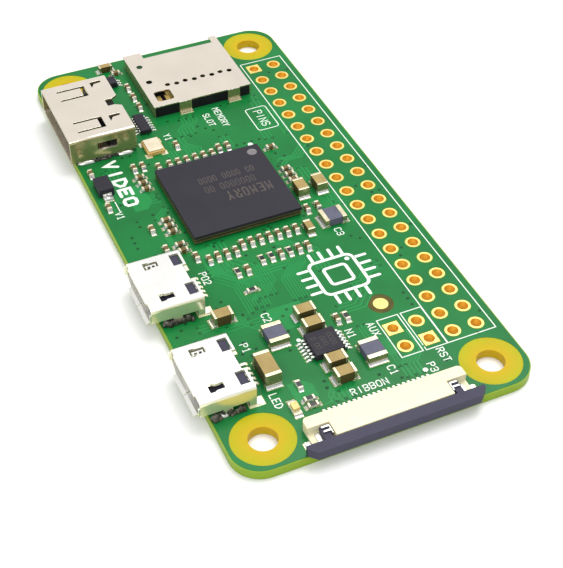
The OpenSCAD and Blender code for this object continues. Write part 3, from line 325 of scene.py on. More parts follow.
def copper_pattern_group():
    """A mask of wide pours and thin runs of copper that show through the mask."""
    group, given, out = new_group("Copper pattern", [("Scale", "Float", 150.0)], [("Mask", "Float")])
    place = place_on_object(group)
    cells = group.nodes.new("ShaderNodeTexVoronoi")
    cells.distance = "CHEBYCHEV"
    feed(group, cells.inputs["Vector"], place)
    feed(group, cells.inputs["Scale"], given["Scale"])
    split = group.nodes.new("ShaderNodeSeparateColor")
    feed(group, split.inputs[0], cells.outputs["Color"])
    pour = add_math(group, "GREATER_THAN", split.outputs[0], 0.55)
    wave = group.nodes.new("ShaderNodeTexWave")
    wave.bands_direction = "DIAGONAL"
    feed(group, wave.inputs["Scale"], 420.0)
    feed(group, wave.inputs["Vector"], place)
    lines = add_math(group, "GREATER_THAN", wave.outputs["Fac"], 0.62)
    run = add_math(group, "MULTIPLY", lines, add_math(group, "LESS_THAN", split.outputs[1], 0.3))
    feed(group, out["Mask"], add_math(group, "MAXIMUM", pour, run))
    return group


GROUP_MAKERS = {
    "Mottled colour": mottled_colour_group,
    "Fine grain": fine_grain_group,
    "Brushed grain": brushed_grain_group,
    "Edge wear": edge_highlight_and_wear_group,
    "Up facing": up_facing_group,
    "Copper pattern": copper_pattern_group,
    "Hole distance": hole_distance_group,
}


@functools.cache
def shared_group(name):
    return GROUP_MAKERS[name]()


def use_group(tree, name, **values):
    """Places a shared group in a material with values of its own."""
    node = tree.nodes.new("ShaderNodeGroup")
    node.node_tree = shared_group(name)
    for key, value in values.items():
        feed(tree, node.inputs[key.replace("_", " ")], value)
    return node.outputs


# ---- Finishes ----

MATERIALS = {}


def make_finish(name, light, dark, patch=500.0, speck=9000.0, share=0.25, rough=0.5, spread=0.2, grain=12000.0,
                bump=0.15, depth=0.004, brushed=None, edge=None, edge_gain=4.0, **sockets):
    """A finish of two mottled tones with grain in its gloss and relief, and an optional lighter tone along its edges:
    a painted highlight, with some wear.
    """
    material = bpy.data.materials.new(name)
    material.use_nodes = True
    tree = material.node_tree
    shader = tree.nodes["Principled BSDF"]
    for key, value in sockets.items():
        shader.inputs[key.replace("_", " ")].default_value = value
    colour = use_group(tree, "Mottled colour", Light=light, Dark=dark, Patch_scale=patch, Speck_scale=speck,
                       Speck_share=share)["Colour"]
    # A lighter tone along the edges: painted highlight, with some wear
    if edge is not None:
        colour = add_mix(tree, use_group(tree, "Edge wear", Gain=edge_gain)["Mask"], colour, edge)
    feed(tree, shader.inputs["Base Color"], colour)
    if brushed is None:
        surface = use_group(tree, "Fine grain", Scale=grain, Roughness=rough, Spread=spread)
    else:
        surface = use_group(tree, "Brushed grain", Stretch=brushed, Scale=grain, Roughness=rough, Spread=spread)
    feed(tree, shader.inputs["Roughness"], surface["Roughness"])
    relief = tree.nodes.new("ShaderNodeBump")
    for key, value in (("Strength", bump), ("Distance", depth * MM), ("Height", surface["Height"])):
        feed(tree, relief.inputs[key], value)
    feed(tree, shader.inputs["Normal"], relief.outputs["Normal"])
    MATERIALS[name] = material


def mix_by_group(name, group, colour, inside, **values):
    """Lets a group's mask bring a second tone into a finish, where the mask is 1 or where it is 0."""
    tree = MATERIALS[name].node_tree
    socket = tree.nodes["Principled BSDF"].inputs["Base Color"]
    flat = socket.links[0].from_socket
    mask = use_group(tree, group, **values)["Mask"]
    pair = (flat, colour) if inside else (colour, flat)
    feed(tree, socket, add_mix(tree, mask, *pair))


def paint_shade_on_walls(name, wall):
    """Gives the walls of a piece, such as the inside of a plated hole, a tone of their own: painted shade and
    reflection, set apart from its faces that look up or down.
    """
    mix_by_group(name, "Up facing", wall, False)


def make_finishes():
    f = finishes()
    c = {k: tuple(getattr(f, k)) for k in BoardFinishes.__annotations__}
    low = {"Specular_IOR_Level": 0.18}
    lacquer = {"share": 0.12, "rough": 0.3, "spread": 0.12, "grain": 5000.0, "Coat_Weight": 0.12,
               "Coat_Roughness": 0.16, **low}
    # The edge tones here and below are lighter bands along the edges: painted highlights, with some wear
    chip_metal = {"patch": 1500.0, "share": 0.4, "spread": 0.2, "grain": 7000.0, "bump": 0.25,
                  "edge": tone(250, 246, 232), "edge_gain": 2.0}
    make_finish("green_solder_mask", c["mask"], shade(c["mask"], 0.72), patch=160.0, bump=0.12, **lacquer)
    make_finish("green_mask_with_copper", c["mask"], shade(c["mask"], 0.76), patch=160.0, bump=0.12, **lacquer)
    mix_by_group("green_mask_with_copper", "Copper pattern", c["mask_copper"], True)
    make_finish("green_mask_over_copper", c["mask_copper"], shade(c["mask_copper"], 0.84), patch=300.0, bump=0.1,
                **lacquer)
    make_finish("green_mask_over_via", shade(c["mask"], 0.4), shade(c["mask"], 0.2), patch=900.0, rough=0.4, **low)
    make_finish("bare_laminate", c["laminate"], tone(172, 160, 0), patch=260.0, speck=4000.0, share=0.3,
                rough=0.42, spread=0.2, brushed=(1.0, 1.0, 0.35), grain=6000.0, bump=0.25, depth=0.008,
                Subsurface_Weight=0.2, Subsurface_Scale=1.0 * MM, **low)
    mix_by_group("bare_laminate", "Hole distance", tone(190, 160, 0), False)
    mix_by_group("bare_laminate", "Hole distance", tone(130, 158, 36), True, Hole_radius=3.2 * MM,
                 Ring_width=0.2 * MM)
    make_finish("dark_laminate", tone(92, 84, 30), tone(66, 62, 22), patch=900.0, rough=0.5, **low)
    make_finish("white_legend_ink", c["legend"], shade(c["legend"], 0.84), patch=1500.0, share=0.5, rough=0.55,
                bump=0.3)
    make_finish("gold_plate", c["gold"], shade(c["gold"], 0.86), patch=700.0, share=0.4, rough=0.3, spread=0.25,
                grain=9000.0, bump=0.2, Metallic=0.5)
    # Deeper orange walls inside the plated holes: painted shade and reflection
    paint_shade_on_walls("gold_plate", tone(244, 192, 58))
    make_finish("bright_solder", c["solder"], shade(c["solder"], 0.86), patch=1200.0, share=0.5, rough=0.25,
                spread=0.25, grain=5000.0, bump=0.35, depth=0.012, Metallic=0.85)
    make_finish("tinned_land", c["solder"], tone(232, 224, 190), patch=2600.0, share=0.3, rough=0.4, spread=0.25,
                grain=5000.0, bump=0.3, Metallic=0.6)
    make_finish("chip_end_metal", tone(230, 224, 204), tone(204, 194, 164), rough=0.42, Metallic=0.6, **chip_metal)
    make_finish("large_chip_end_metal", tone(236, 228, 200), tone(206, 196, 160), rough=0.3, Metallic=0.8,
                **chip_metal)
    # Darker walls on the large chip ends: painted shade
    paint_shade_on_walls("large_chip_end_metal", tone(176, 168, 128))
    # Near-black solder for the rough mounds by the shells' sides: real solder lumps with painted shade
    make_finish("dull_solder", tone(104, 101, 90), tone(8, 8, 6), patch=1500.0, speck=5000.0, share=0.25,
                rough=0.28, spread=0.3, grain=4000.0, bump=0.5, depth=0.02, Metallic=0.4)
    make_finish("warm_port_steel", c["port_steel"], shade(c["port_steel"], 0.92), patch=260.0, share=0.25, rough=0.2,
                spread=0.14, grain=9000.0, bump=0.1, brushed=(0.05, 1.0, 1.0), Metallic=0.75,
                edge=tone(250, 246, 236))
    # Darker yellowish walls on the video port and card cover: painted shade and reflection of the board
    paint_shade_on_walls("warm_port_steel", tone(168, 162, 116))
    make_finish("bright_port_steel", c["bright_steel"], shade(c["bright_steel"], 0.95), patch=260.0, share=0.2,
                rough=0.2, spread=0.12, grain=9000.0, bump=0.08, brushed=(0.06, 1.0, 1.0), Metallic=0.7,
                edge=tone(255, 255, 250))
    # Yellowish walls on the small ports' shells: painted reflection of the board
    paint_shade_on_walls("bright_port_steel", tone(234, 234, 200))
    make_finish("spring_brass", tone(214, 186, 112), tone(176, 146, 80), rough=0.3, Metallic=0.9)
    make_finish("mould_compound", c["mould"], shade(c["mould"], 0.82), patch=300.0, share=0.5, rough=0.48,
                spread=0.16, grain=15000.0, bump=0.35, depth=0.006, edge=shade(c["mould"], 1.7), edge_gain=2.0,
                **low)
    make_finish("laser_mark", tone(80, 72, 66), tone(60, 54, 53), patch=2500.0, share=0.7, rough=0.75)
    make_finish("polished_mould", tone(128, 124, 126), tone(104, 100, 104), patch=1500.0, rough=0.3)
    make_finish("chip_substrate", tone(96, 98, 56), tone(70, 74, 40), patch=900.0, rough=0.5, **low)
    make_finish("black_plastic", c["black"], shade(c["black"], 0.7), patch=600.0, rough=0.46, spread=0.2,
                grain=14000.0, bump=0.3, edge=shade(c["black"], 2.2), edge_gain=2.0, **low)
    make_finish("slate_plastic", c["slate"], shade(c["slate"], 0.84), patch=420.0, share=0.4, rough=0.42,
                spread=0.16, grain=12000.0, bump=0.3, depth=0.006, edge=shade(c["slate"], 1.5), edge_gain=2.0,
                **low)
    make_finish("ivory_plastic", c["ivory"], shade(c["ivory"], 0.9), patch=420.0, rough=0.4, spread=0.14,
                grain=12000.0, bump=0.2, Subsurface_Weight=0.15, Subsurface_Scale=0.6 * MM)
    make_finish("capacitor_ceramic", c["tan"], shade(c["tan"], 0.74), patch=900.0, speck=14000.0, share=0.6,
                rough=0.4, bump=0.3, edge=shade(c["tan"], 1.3), edge_gain=2.0, **low)
    make_finish("large_capacitor_ceramic", tone(170, 148, 94), tone(148, 126, 76), patch=500.0, speck=14000.0,
                share=0.5, rough=0.38, bump=0.3, edge=tone(184, 164, 110), edge_gain=2.0, **low)
    # Much darker sides on the large capacitors: painted shade
    paint_shade_on_walls("large_capacitor_ceramic", tone(78, 68, 38))
    make_finish("white_alumina", tone(226, 224, 214), tone(200, 198, 186), patch=1200.0, share=0.4, rough=0.5)
    make_finish("resistor_glaze", tone(28, 28, 32), tone(16, 16, 20), patch=1500.0, rough=0.26, bump=0.3,
                Coat_Weight=0.2)
    make_finish("ground_ferrite", c["ferrite"], shade(c["ferrite"], 0.78), patch=900.0, speck=12000.0, share=0.7,
                rough=0.5, bump=0.4, depth=0.008, edge=shade(c["ferrite"], 1.4), edge_gain=2.0, **low)
    make_finish("golden_ceramic", tone(222, 188, 116), tone(190, 152, 84), patch=900.0, rough=0.4)
    make_finish("cream_lid_metal", tone(238, 228, 204), tone(222, 208, 178), patch=700.0, rough=0.32, Metallic=0.5,
                brushed=(0.1, 1.0, 1.0))
    make_finish("yellow_lamp_resin", tone(230, 210, 138), tone(208, 182, 108), patch=1500.0, rough=0.18,
                Coat_Weight=0.5, Subsurface_Weight=0.4, Subsurface_Scale=0.6 * MM)


NODE_FINISH = {
    "bare_laminate": "board_core",
    "green_solder_mask": "solder_mask_top",
    "green_mask_with_copper": "solder_mask_bottom",
    "gold_plate": "header_plated_holes aux_plated_holes fiducial_dot test_pads video_port_contacts "
                  "card_socket_contacts",
    "tinned_land": "smd_lands data_port_contacts power_port_contacts",
    "chip_end_metal": "small_capacitor_ends resistor_ends lamp_ends",
    "large_chip_end_metal": "inductor_ends power_capacitor_ends",
    "bright_solder": "processor_balls memory_balls ribbon_contacts ribbon_solder_tabs regulator_leads diode_leads "
                     "protection_array_leads small_chip_leads",
    "chip_substrate": "processor_substrate memory_substrate",
    "mould_compound": "processor_mould memory_mould regulator_body diode_body protection_array_body small_chip_body",
    "warm_port_steel": "video_port_shell card_socket_cover",
    "bright_port_steel": "data_port_shell power_port_shell",
    "black_plastic": "video_port_insulator card_socket_base",
    "slate_plastic": "data_port_insulator power_port_insulator ribbon_latch",
    "spring_brass": "card_socket_detect_spring",
    "ivory_plastic": "ribbon_housing",
    "golden_ceramic": "crystal_base",
    "cream_lid_metal": "crystal_lid",
    "ground_ferrite": "inductor_cores",
    "capacitor_ceramic": "small_capacitor_bodies",
    "large_capacitor_ceramic": "power_capacitor_bodies",
    "white_alumina": "resistor_bodies lamp_base",
    "resistor_glaze": "resistor_coats",
    "yellow_lamp_resin": "lamp_lens",
}


def coat_nodes():
    for finish, names in NODE_FINISH.items():
        for name in names.split():
            for place in NODES[name].material_slots:
                place.material = MATERIALS[finish]


# ---- Reading the frame ----


def hole_corner():
    """Plan position of the mounting hole at +X and +Y."""
    dims = MOUNTS["mounting_holes"]["dims"]
    return dims["spacing_x_mm"] / 2 * MM, dims["spacing_y_mm"] / 2 * MM


def in_plan(box, grow=0.0):
    """Left, front, right and back of a box, moved out by a margin."""
    low, high = box
    return low.x - grow, low.y - grow, high.x + grow, high.y + grow


@functools.cache
def islands(node):
    """Boxes of the separate solids of a CAD node, as pairs of corners, from left to right.

    Corners that fall on the same ten-thousandth of a millimetre count as one.
    """
    mesh = NODES[node].data
    label, corner = {}, []
    for v in mesh.vertices:
        corner.append(label.setdefault(tuple(round(c * 1e7) for c in v.co), len(label)))
    parent = list(range(len(label)))

    def root(i):
        while parent[i] != i:
            parent[i] = parent[parent[i]]
            i = parent[i]
        return i

    for face in mesh.polygons:
        first = root(corner[face.vertices[0]])
        for k in face.vertices[1:]:
            parent[root(corner[k])] = first
    boxes = {}
    for key, i in label.items():
        low, high = boxes.setdefault(root(i), ([1e9] * 3, [-1e9] * 3))
        for a in range(3):
            low[a] = min(low[a], key[a] * 1e-7)
            high[a] = max(high[a], key[a] * 1e-7)
    return [(Vector(low), Vector(high)) for low, high in sorted(boxes.values())]


def spot(anchor):
    """Plan position of a mount, a node's centre, or one of its solids as node#number."""
    if anchor in MOUNTS:
        return Vector(MOUNTS[anchor]["pos_m"][:2])
    node, _, number = anchor.partition("#")
    low, high = islands(node)[int(number)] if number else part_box(node)
    return ((low + high) / 2).to_2d()


# ---- Mesh making ----

# Points nearer than this are one, and the rounding of spring contacts and of the smallest chips
SAME_POINT = 0.0005 * MM
CONTACT_ROUND = 0.012 * MM
TINY_CHIP_ROUND = 0.018 * MM


def soften(nodes, width, segments=2, angle=35):
    """Rounds the sharp edges of CAD nodes with modifiers that leave their meshes alone."""
    for obj in (NODES[name] for name in nodes.split()):
        weld = obj.modifiers.new("Weld", "WELD")
        weld.merge_threshold = SAME_POINT
        flat = obj.modifiers.new("Flat faces", "DECIMATE")
        flat.decimate_type = "DISSOLVE"
        flat.angle_limit = math.radians(1)
        bevel = obj.modifiers.new("Rounded edges", "BEVEL")
        bevel.width = width
        bevel.segments = segments
        bevel.limit_method = "ANGLE"
        bevel.angle_limit = math.radians(angle)
        bevel.use_clamp_overlap = True
        bevel.harden_normals = True
        normal = obj.modifiers.new("Even normals", "WEIGHTED_NORMAL")
        normal.keep_sharp = False


def make_object(bm, name, finish, smooth=False):
    """Turns made geometry into an object with a finish."""
    bmesh.ops.recalc_face_normals(bm, faces=bm.faces)
    mesh = bpy.data.meshes.new(name)
    bm.to_mesh(mesh)
    bm.free()
    for face in mesh.polygons:
        face.use_smooth = smooth
    mesh.materials.append(MATERIALS[finish])
    obj = bpy.data.objects.new(name, mesh)
    bpy.context.scene.collection.objects.link(obj)
    return obj


def finish_piece(bm, name, finish, body=BODY, smooth=False):
    """Turns made geometry into a piece that rides on a body of the frame."""
    obj = make_object(bm, name, finish, smooth)
    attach(obj, body)


def add_ring_stack(bm, rings, looped=False):
    """Skin through rings of the same number of points, with lids unless the last ring joins the first."""
    rows = [[bm.verts.new(p) for p in ring] for ring in rings]
    count = len(rows[0])
    for low, high in zip(rows, rows[1:] + (rows[:1] if looped else [])):
        for i in range(count):
            j = (i + 1) % count
            bm.faces.new((low[i], low[j], high[j], high[i]))
    if not looped:
        bm.faces.new(rows[0][::-1])
        bm.faces.new(rows[-1])


def add_slab(bm, outline, z0, z1):
    """An outline in plan, raised from one height to another."""
    add_ring_stack(bm, [[(x, y, z0) for x, y in outline], [(x, y, z1) for x, y in outline]])


def circle_outline(x, y, radius, count=20):
    turn = 2 * math.pi / count
    return [(x + radius * math.cos(i * turn), y + radius * math.sin(i * turn)) for i in range(count)]


def round_rectangle(x0, y0, x1, y1, radius, steps=4):
    points = []
    for cx, cy, start in ((x1 - radius, y1 - radius, 0), (x0 + radius, y1 - radius, 90),
                          (x0 + radius, y0 + radius, 180), (x1 - radius, y0 + radius, 270)):
        for i in range(steps + 1):
            angle = math.radians(start + 90 * i / steps)
            points.append((cx + radius * math.cos(angle), cy + radius * math.sin(angle)))
    return points


def add_stroke(bm, points, width, z0, z1, closed=False):
    """A flat raised line along points, with mitred corners and rounded ends."""
    path = [Vector(p) for p in points]
    half = width / 2
    halves = [half] * len(path)
    if not closed:
        first = (path[0] - path[1]).normalized()
        last = (path[-1] - path[-2]).normalized()
        start, end = path[0], path[-1]
        for reach, share in ((0.5, 0.866), (0.86, 0.5), (1.0, 0.12)):
            path.insert(0, start + first * half * reach)
            path.append(end + last * half * reach)
            halves.insert(0, half * share)
            halves.append(half * share)
    count = len(path)
    sides = []
    for i, point in enumerate(path):
        d0 = (point - path[i - 1]).normalized() if closed or i else None
        d1 = (path[(i + 1) % count] - point).normalized() if closed or i < count - 1 else None
        d0, d1 = d0 or d1, d1 or d0
        n0, n1 = Vector((-d0.y, d0.x)), Vector((-d1.y, d1.x))
        mid = (n0 + n1).normalized()
        reach = halves[i] / max(0.4, mid.dot(n0))
        sides.append((point + mid * reach, point - mid * reach))
    add_ring_stack(bm, [[(*l, z0), (*r, z0), (*r, z1), (*l, z1)] for l, r in sides], closed)


# Plain capitals and numbers as strokes on a grid 4 wide and 6 high
LETTER_STROKES = {
    "A": ("00 26 40", "12 32"),
    "B": ("00 06 36 45 44 33 03", "33 42 41 30 00"),
    "C": ("41 30 10 01 05 16 36 45",),
    "D": ("00 06 26 44 42 20 00",),
    "E": ("40 00 06 46", "03 33"),
    "I": ("20 26",),
    "L": ("06 00 40",),
    "M": ("00 06 23 46 40",),
    "N": ("00 06 40 46",),
    "O": ("10 30 41 45 36 16 05 01 10",),
    "P": ("00 06 36 45 44 33 03",),
    "R": ("00 06 36 45 44 33 03", "23 40"),
    "S": ("01 10 30 41 42 33 13 04 05 16 36 45",),
    "T": ("20 26", "06 46"),
    "U": ("06 01 10 30 41 46",),
    "V": ("06 20 46",),
    "X": ("00 46", "06 40"),
    "Y": ("20 23 06", "23 46"),
    "0": ("10 30 41 45 36 16 05 01 10",),
    "1": ("10 30", "20 26 15"),
    "2": ("05 16 36 45 44 00 40",),
    "3": ("01 10 30 41 42 33 13", "33 44 45 36 16 05"),
}


def add_lettering(bm, words, height, at, turn, z0, z1, line, wide=1.0):
    """Plain capitals drawn as raised strokes, centred on a point."""
    unit = (height - line) / 6
    across = unit * wide
    pitch = across * 4 + line + height * 0.14
    spin = Matrix.Rotation(math.radians(turn), 2)
    left = -(pitch * len(words) - height * 0.14 - line) / 2
    rank = 0  # Strokes that cross differ a little in height, so that their tops don't lie in one plane
    for place, letter in enumerate(words):
        for stroke in LETTER_STROKES.get(letter, ()):
            points = []
            for column, row in stroke.split():
                points.append(at + spin @ Vector((left + place * pitch + int(column) * across,
                                                  (int(row) - 3) * unit)))
            closed = (points[0] - points[-1]).length < 1e-9
            add_stroke(bm, points[:-1] if closed else points, line, z0, z1 + (z1 - z0) * 0.01 * (rank % 7), closed)
            rank += 1


# ---- Laminate, mask and tracks ----

# Buses of thin tracks: anchor, first point, steps of the path, count, step from track to track
TRACK_BUSES = [
    ("memory_mould", (6.5, -3.2), [(3.0, 0), (1.6, 1.6), (0, 4.2)], 5, (0.0, -0.42)),
    ("memory_mould", (6.6, 1.4), [(2.2, 0), (2.6, 2.6), (3.2, 0)], 4, (0.0, 0.42)),
    ("memory_mould", (-6.5, 2.6), [(-1.4, 1.4), (-2.2, 0)], 3, (0.0, -0.44)),
    ("memory_mould", (-6.6, -1.2), [(-2.6, 0), (-1.2, -1.2), (-1.4, 0)], 5, (0.0, 0.42)),
    ("memory_mould", (-3.4, -6.8), [(0, -1.2), (-1.6, -1.6), (-5.2, 0)], 4, (0.44, 0.0)),
    ("memory_mould", (-2.0, 7.4), [(-1.0, 1.0), (-0.0, 1.6), (-1.6, 1.6)], 4, (-0.46, 0.0)),
    ("memory_mould", (3.6, 7.2), [(0, 1.2), (1.4, 1.4), (0, 1.6)], 5, (0.46, 0.0)),
    ("regulator_body", (3.2, 1.2), [(1.6, 0), (0.8, -0.8), (0, -1.6)], 3, (0.0, -0.4)),
    ("regulator_body", (-4.4, 3.4), [(0, 1.4), (-1.4, 1.4), (-1.2, 0)], 4, (0.4, 0.0)),
    ("regulator_body", (4.4, -1.6), [(1.2, 0), (0.9, -0.9), (0, -2.4)], 4, (0.0, 0.38)),
    ("power_port_shell", (-6.4, 3.8), [(0, 1.2), (1.3, 1.3), (0, 1.2)], 4, (-0.4, 0.0)),
    ("data_port_shell", (-5.4, 2.2), [(-1.2, 1.2), (-4.6, 0), (-1.4, 1.4)], 3, (0.0, -0.42)),
    ("data_port_shell", (5.1, 1.2), [(0, 1.6), (0.9, 0.9), (0, 2.4)], 3, (0.4, 0.0)),
    ("video_port_shell", (8.0, -2.0), [(2.2, 0), (1.1, -1.1), (3.6, 0)], 4, (0.0, 0.42)),
    ("video_port_shell", (7.2, 6.6), [(2.0, 0), (1.0, 1.0), (0, 1.8)], 3, (0.0, 0.42)),
    ("ribbon_housing", (-2.9, 5.2), [(-1.4, 0), (-1.8, 1.8), (-2.2, 0)], 5, (0.0, -0.42)),
    ("ribbon_housing", (-2.9, -2.0), [(-1.0, 0), (-0.8, 0.8), (-1.4, 0)], 6, (0.0, -0.42)),
    ("card_socket_cover", (6.6, -3.4), [(1.2, 0), (1.0, -1.0), (1.2, 0)], 5, (0.0, 0.42)),
    ("card_socket_cover", (6.9, 5.2), [(3.6, 0), (1.2, -1.2), (2.6, 0)], 3, (0.0, 0.44)),
    ("memory_mould", (8.6, -3.6), [(2.6, 0), (2.4, 2.4), (2.2, 0)], 8, (0.0, -0.3)),
    ("memory_mould", (10.6, 3.4), [(2.0, 0), (1.6, -1.6), (3.2, 0)], 7, (0.0, -0.3)),
    ("data_port_shell", (-1.8, 5.0), [(0, 1.4), (1.6, 1.6), (4.4, 0)], 6, (0.3, 0.0)),
    ("regulator_body", (-13.2, -2.0), [(3.0, 0), (1.8, -1.8), (1.2, 0)], 6, (0.0, 0.3)),
    ("ribbon_housing", (-4.4, 3.4), [(-3.4, 0), (-1.2, -1.2), (-1.6, 0)], 3, (0.0, 0.34)),
    ("header_pins", (-19.0, -3.4), [(3.0, 0), (0.7, 0.7), (4.4, 0)], 2, (0.0, -0.44)),
    ("header_pins", (-4.4, -3.6), [(4.2, 0), (0.8, 0.8), (5.4, 0)], 3, (0.0, -0.42)),
    ("header_pins", (12.4, -3.4), [(0, -1.2), (1.6, -1.6), (0, -1.2)], 4, (0.42, 0.0)),
]

# Wide pours of copper: anchor and corners of each
COPPER_POURS = [
    ("regulator_body", [(-6.6, -3.2), (-3.4, -3.2), (-3.4, -0.6), (-4.4, 0.4), (-6.6, 0.4)]),
    ("regulator_body", [(3.0, -5.2), (5.4, -5.2), (5.4, -3.0), (3.8, -3.0), (3.0, -3.8)]),
    ("memory_mould", [(6.8, -6.2), (11.2, -6.2), (11.2, -4.9), (8.4, -4.9), (7.6, -4.4), (6.8, -4.4)]),
    ("memory_mould", [(-5.6, -9.8), (-1.4, -9.8), (-1.4, -8.4), (-2.4, -7.6), (-5.6, -7.6)]),
    ("card_socket_cover", [(-4.4, -5.2), (4.6, -5.2), (4.6, -4.5), (3.9, -4.3), (-4.4, -4.3)]),
    ("ribbon_housing", [(-8.0, 2.6), (-6.6, 2.6), (-5.9, 3.3), (-5.9, 4.1), (-8.0, 4.1)]),
]


COVERED_AREAS = ("memory_mould", "video_port_shell", "data_port_shell", "power_port_shell", "card_socket_cover",
                 "ribbon_housing", "regulator_body", "crystal_lid", "diode_body", "protection_array_body")


def kept_clear(grow):
    """Boxes in plan that tracks and vias stay clear of."""
    boxes = [b for n in ("smd_lands", "header_plated_holes", "aux_plated_holes", "fiducial_dot") for b in islands(n)]
    x, y = hole_corner()
    reach = Vector((HOLE_KEEP_OUT, HOLE_KEEP_OUT))
    for hole in (Vector((sx * x, sy * y)) for sx in (-1, 1) for sy in (-1, 1)):
        boxes.append((hole - reach, hole + reach))
    return [in_plan(box, grow) for box in boxes]


def is_clear(point, boxes, limit):
    """Whether a point is on the board and outside every box."""
    x, y = point
    inside = abs(x) < limit.x and abs(y) < limit.y
    return inside and not any(b[0] < x < b[2] and b[1] < y < b[3] for b in boxes)


def is_in_line(run, point):
    """Whether a point carries straight on from the last two of a run."""
    if len(run) < 2:
        return False
    return abs((run[-1] - run[-2]).normalized().dot((point - run[-1]).normalized()) - 1) < 1e-4


def split_at_lands(points, boxes, limit, step):
    """Parts of a path that stay clear of the lands."""
    runs, run = [], []
    for a, b in zip(points, points[1:]):
        count = max(2, int((b - a).length / step))
        for i in range(count):
            p = a.lerp(b, i / count)
            if is_clear(p, boxes, limit):
                if i and is_in_line(run, p):
                    run[-1] = p
                else:
                    run.append(p)
            elif run:
                runs.append(run)
                run = []
    if is_clear(points[-1], boxes, limit):
        run.append(points[-1])
    runs.append(run)
    return [r for r in runs if len(r) > 1 and (r[-1] - r[0]).length > SHORTEST_TRACK]


class BOARD_OT_laminate(bpy.types.Operator):
    """Lay tracks, pours and vias under the mask, and a ring of dark bare laminate round the fiducial dot"""

    bl_idname = "board.laminate"
    bl_label = "Laminate and tracks"

    def execute(self, context):
        s = sizes()
        limit = Vector((CAD_BOX[1].x - MARGIN_X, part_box("solder_mask_top")[1].y - MARGIN_Y))
        boxes = kept_clear(TRACK_TO_LAND)
        via_boxes = kept_clear(TRACK_VIA_TO_LAND)
        tracks, vias, pours = bmesh.new(), bmesh.new(), bmesh.new()
        for rank, (anchor, first, path, count, step) in enumerate(TRACK_BUSES):
            width = min(s.track_width, Vector(step).length * MM * 0.45)
            bend = -Vector(step).dot(Vector(path[-1]).normalized())
            for k in range(count):
                relief = s.track_relief * (0.8 + 0.02 * rank + 0.002 * k)
                points = [spot(anchor) + (Vector(first) + Vector(step) * k) * MM]
                for number, move in enumerate(path):
                    longer = Vector(move).normalized() * bend * k if number == 0 else Vector((0, 0))
                    points.append(points[-1] + (Vector(move) + longer) * MM)
                for run in split_at_lands(points, boxes, limit, 0.1 * MM):
                    add_stroke(tracks, run, width, TOP, TOP + relief)
                for end in (points[0], points[-1]):
                    if k % 2 == 0 and is_clear(end, via_boxes, limit):
                        self.add_via(vias, end, s)
        for rank, (anchor, corners) in enumerate(COPPER_POURS):
            outline = [tuple(spot(anchor) + Vector(c) * MM) for c in corners]
            add_slab(pours, outline, TOP, TOP + s.track_relief * (0.5 + 0.02 * rank))
        self.scatter_vias(vias, limit, s)
        self.ring_fiducial()
        finish_piece(tracks, "tracks_under_mask", "green_mask_over_copper")
        finish_piece(pours, "pours_under_mask", "green_mask_over_copper")
        finish_piece(vias, "covered_vias", "green_mask_over_via", smooth=True)
        return {"FINISHED"}

    def scatter_vias(self, bm, limit, s):
        """Small covered vias in loose rows between the parts."""
        random.seed(11)
        boxes = kept_clear(LOOSE_VIA_TO_LAND)
        boxes += [in_plan(box) for box in map(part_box, COVERED_AREAS)]
        placed = 0
        while placed < s.via_count:
            start = Vector((random.uniform(-limit.x, limit.x), random.uniform(-limit.y, limit.y)))
            step = Vector(random.choice(((0.9, 0), (0, 0.9), (0.7, 0.7), (0.7, -0.7)))) * MM
            for k in range(random.choice((1, 1, 2, 3, 4))):
                at = start + step * k
                if is_clear(at, boxes, limit):
                    self.add_via(bm, at, s)
                    boxes.append(in_plan((at, at), VIA_TO_VIA))
                placed += 1

    def ring_fiducial(self):
        """Dark bare laminate that shows round the fiducial dot."""
        low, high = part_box("fiducial_dot")
        at = (low + high) / 2
        inner, outer = (high.x - low.x) / 2 + 0.01 * MM, FIDUCIAL_WINDOW_RADIUS
        z0, z1 = low.z, low.z + 0.012 * MM
        bm = bmesh.new()
        add_ring_stack(bm, [[(x, y, z) for x, y in circle_outline(at.x, at.y, radius, 40)]
                            for radius, z in ((inner, z0), (outer, z0), (outer, z1), (inner, z1))], True)
        finish_piece(bm, "fiducial_window", "dark_laminate")

    def add_via(self, bm, at, s):
        radius = s.via_width / 2
        high = s.track_relief * 1.6
        rings = [(1.0, 0.0), (0.92, 0.6), (0.7, 1.0), (0.42, 0.8), (0.3, 0.25)]
        add_ring_stack(bm, [[(x, y, TOP + high * h) for x, y in circle_outline(at.x, at.y, radius * r, 14)]
                            for r, h in rings])


# ---- Printed legend ----

# Words: text, anchor, offset from it, height as a share of the letter height, turn in degrees
LEGEND_WORDS = [
    ("RST", "run_pins", (3.69, 0.21), 1.0, 0),
    ("AUX", "tv_pins", (-1.91, -1.75), 1.0, 0),
    ("P3", "ribbon_housing", (-3.1, 6.2), 1.0, 0),
    ("RIBBON", "ribbon_housing", (-3.3, -0.25), 1.0, 90),
    ("C1", "inductor_cores#2", (2.6, 0.8), 1.0, 0),
    ("C2", "inductor_cores#1", (-2.8, 0.3), 1.0, 0),
    ("C3", "inductor_cores#0", (2.05, -0.2), 1.0, 0),
    ("N1", "regulator_body", (-0.5, 3.0), 1.0, 0),
    ("P1", "power_port_shell", (-3.2, 4.35), 1.0, 0),
    ("P02", "data_port_shell", (-1.0, 4.4), 1.0, 0),
    ("LED", "lamp_lens", (-1.55, -1.15), 1.0, 0),
    ("V1", "diode_body", (4.75, 0.2), 1.0, 0),
    ("Y1", "crystal_lid", (-1.35, 2.2), 1.0, 0),
    ("PINS", "card_socket_cover", (10.4, 5.23), 1.25, 0),
    ("MEMORY", "card_socket_cover", (8.3, 1.0), 1.0, 0),
    ("SLOT", "card_socket_cover", (8.3, -0.45), 1.0, 0),
    ("VIDEO", "video_port_shell", (10.35, 0.15), 2.0, 0),
]


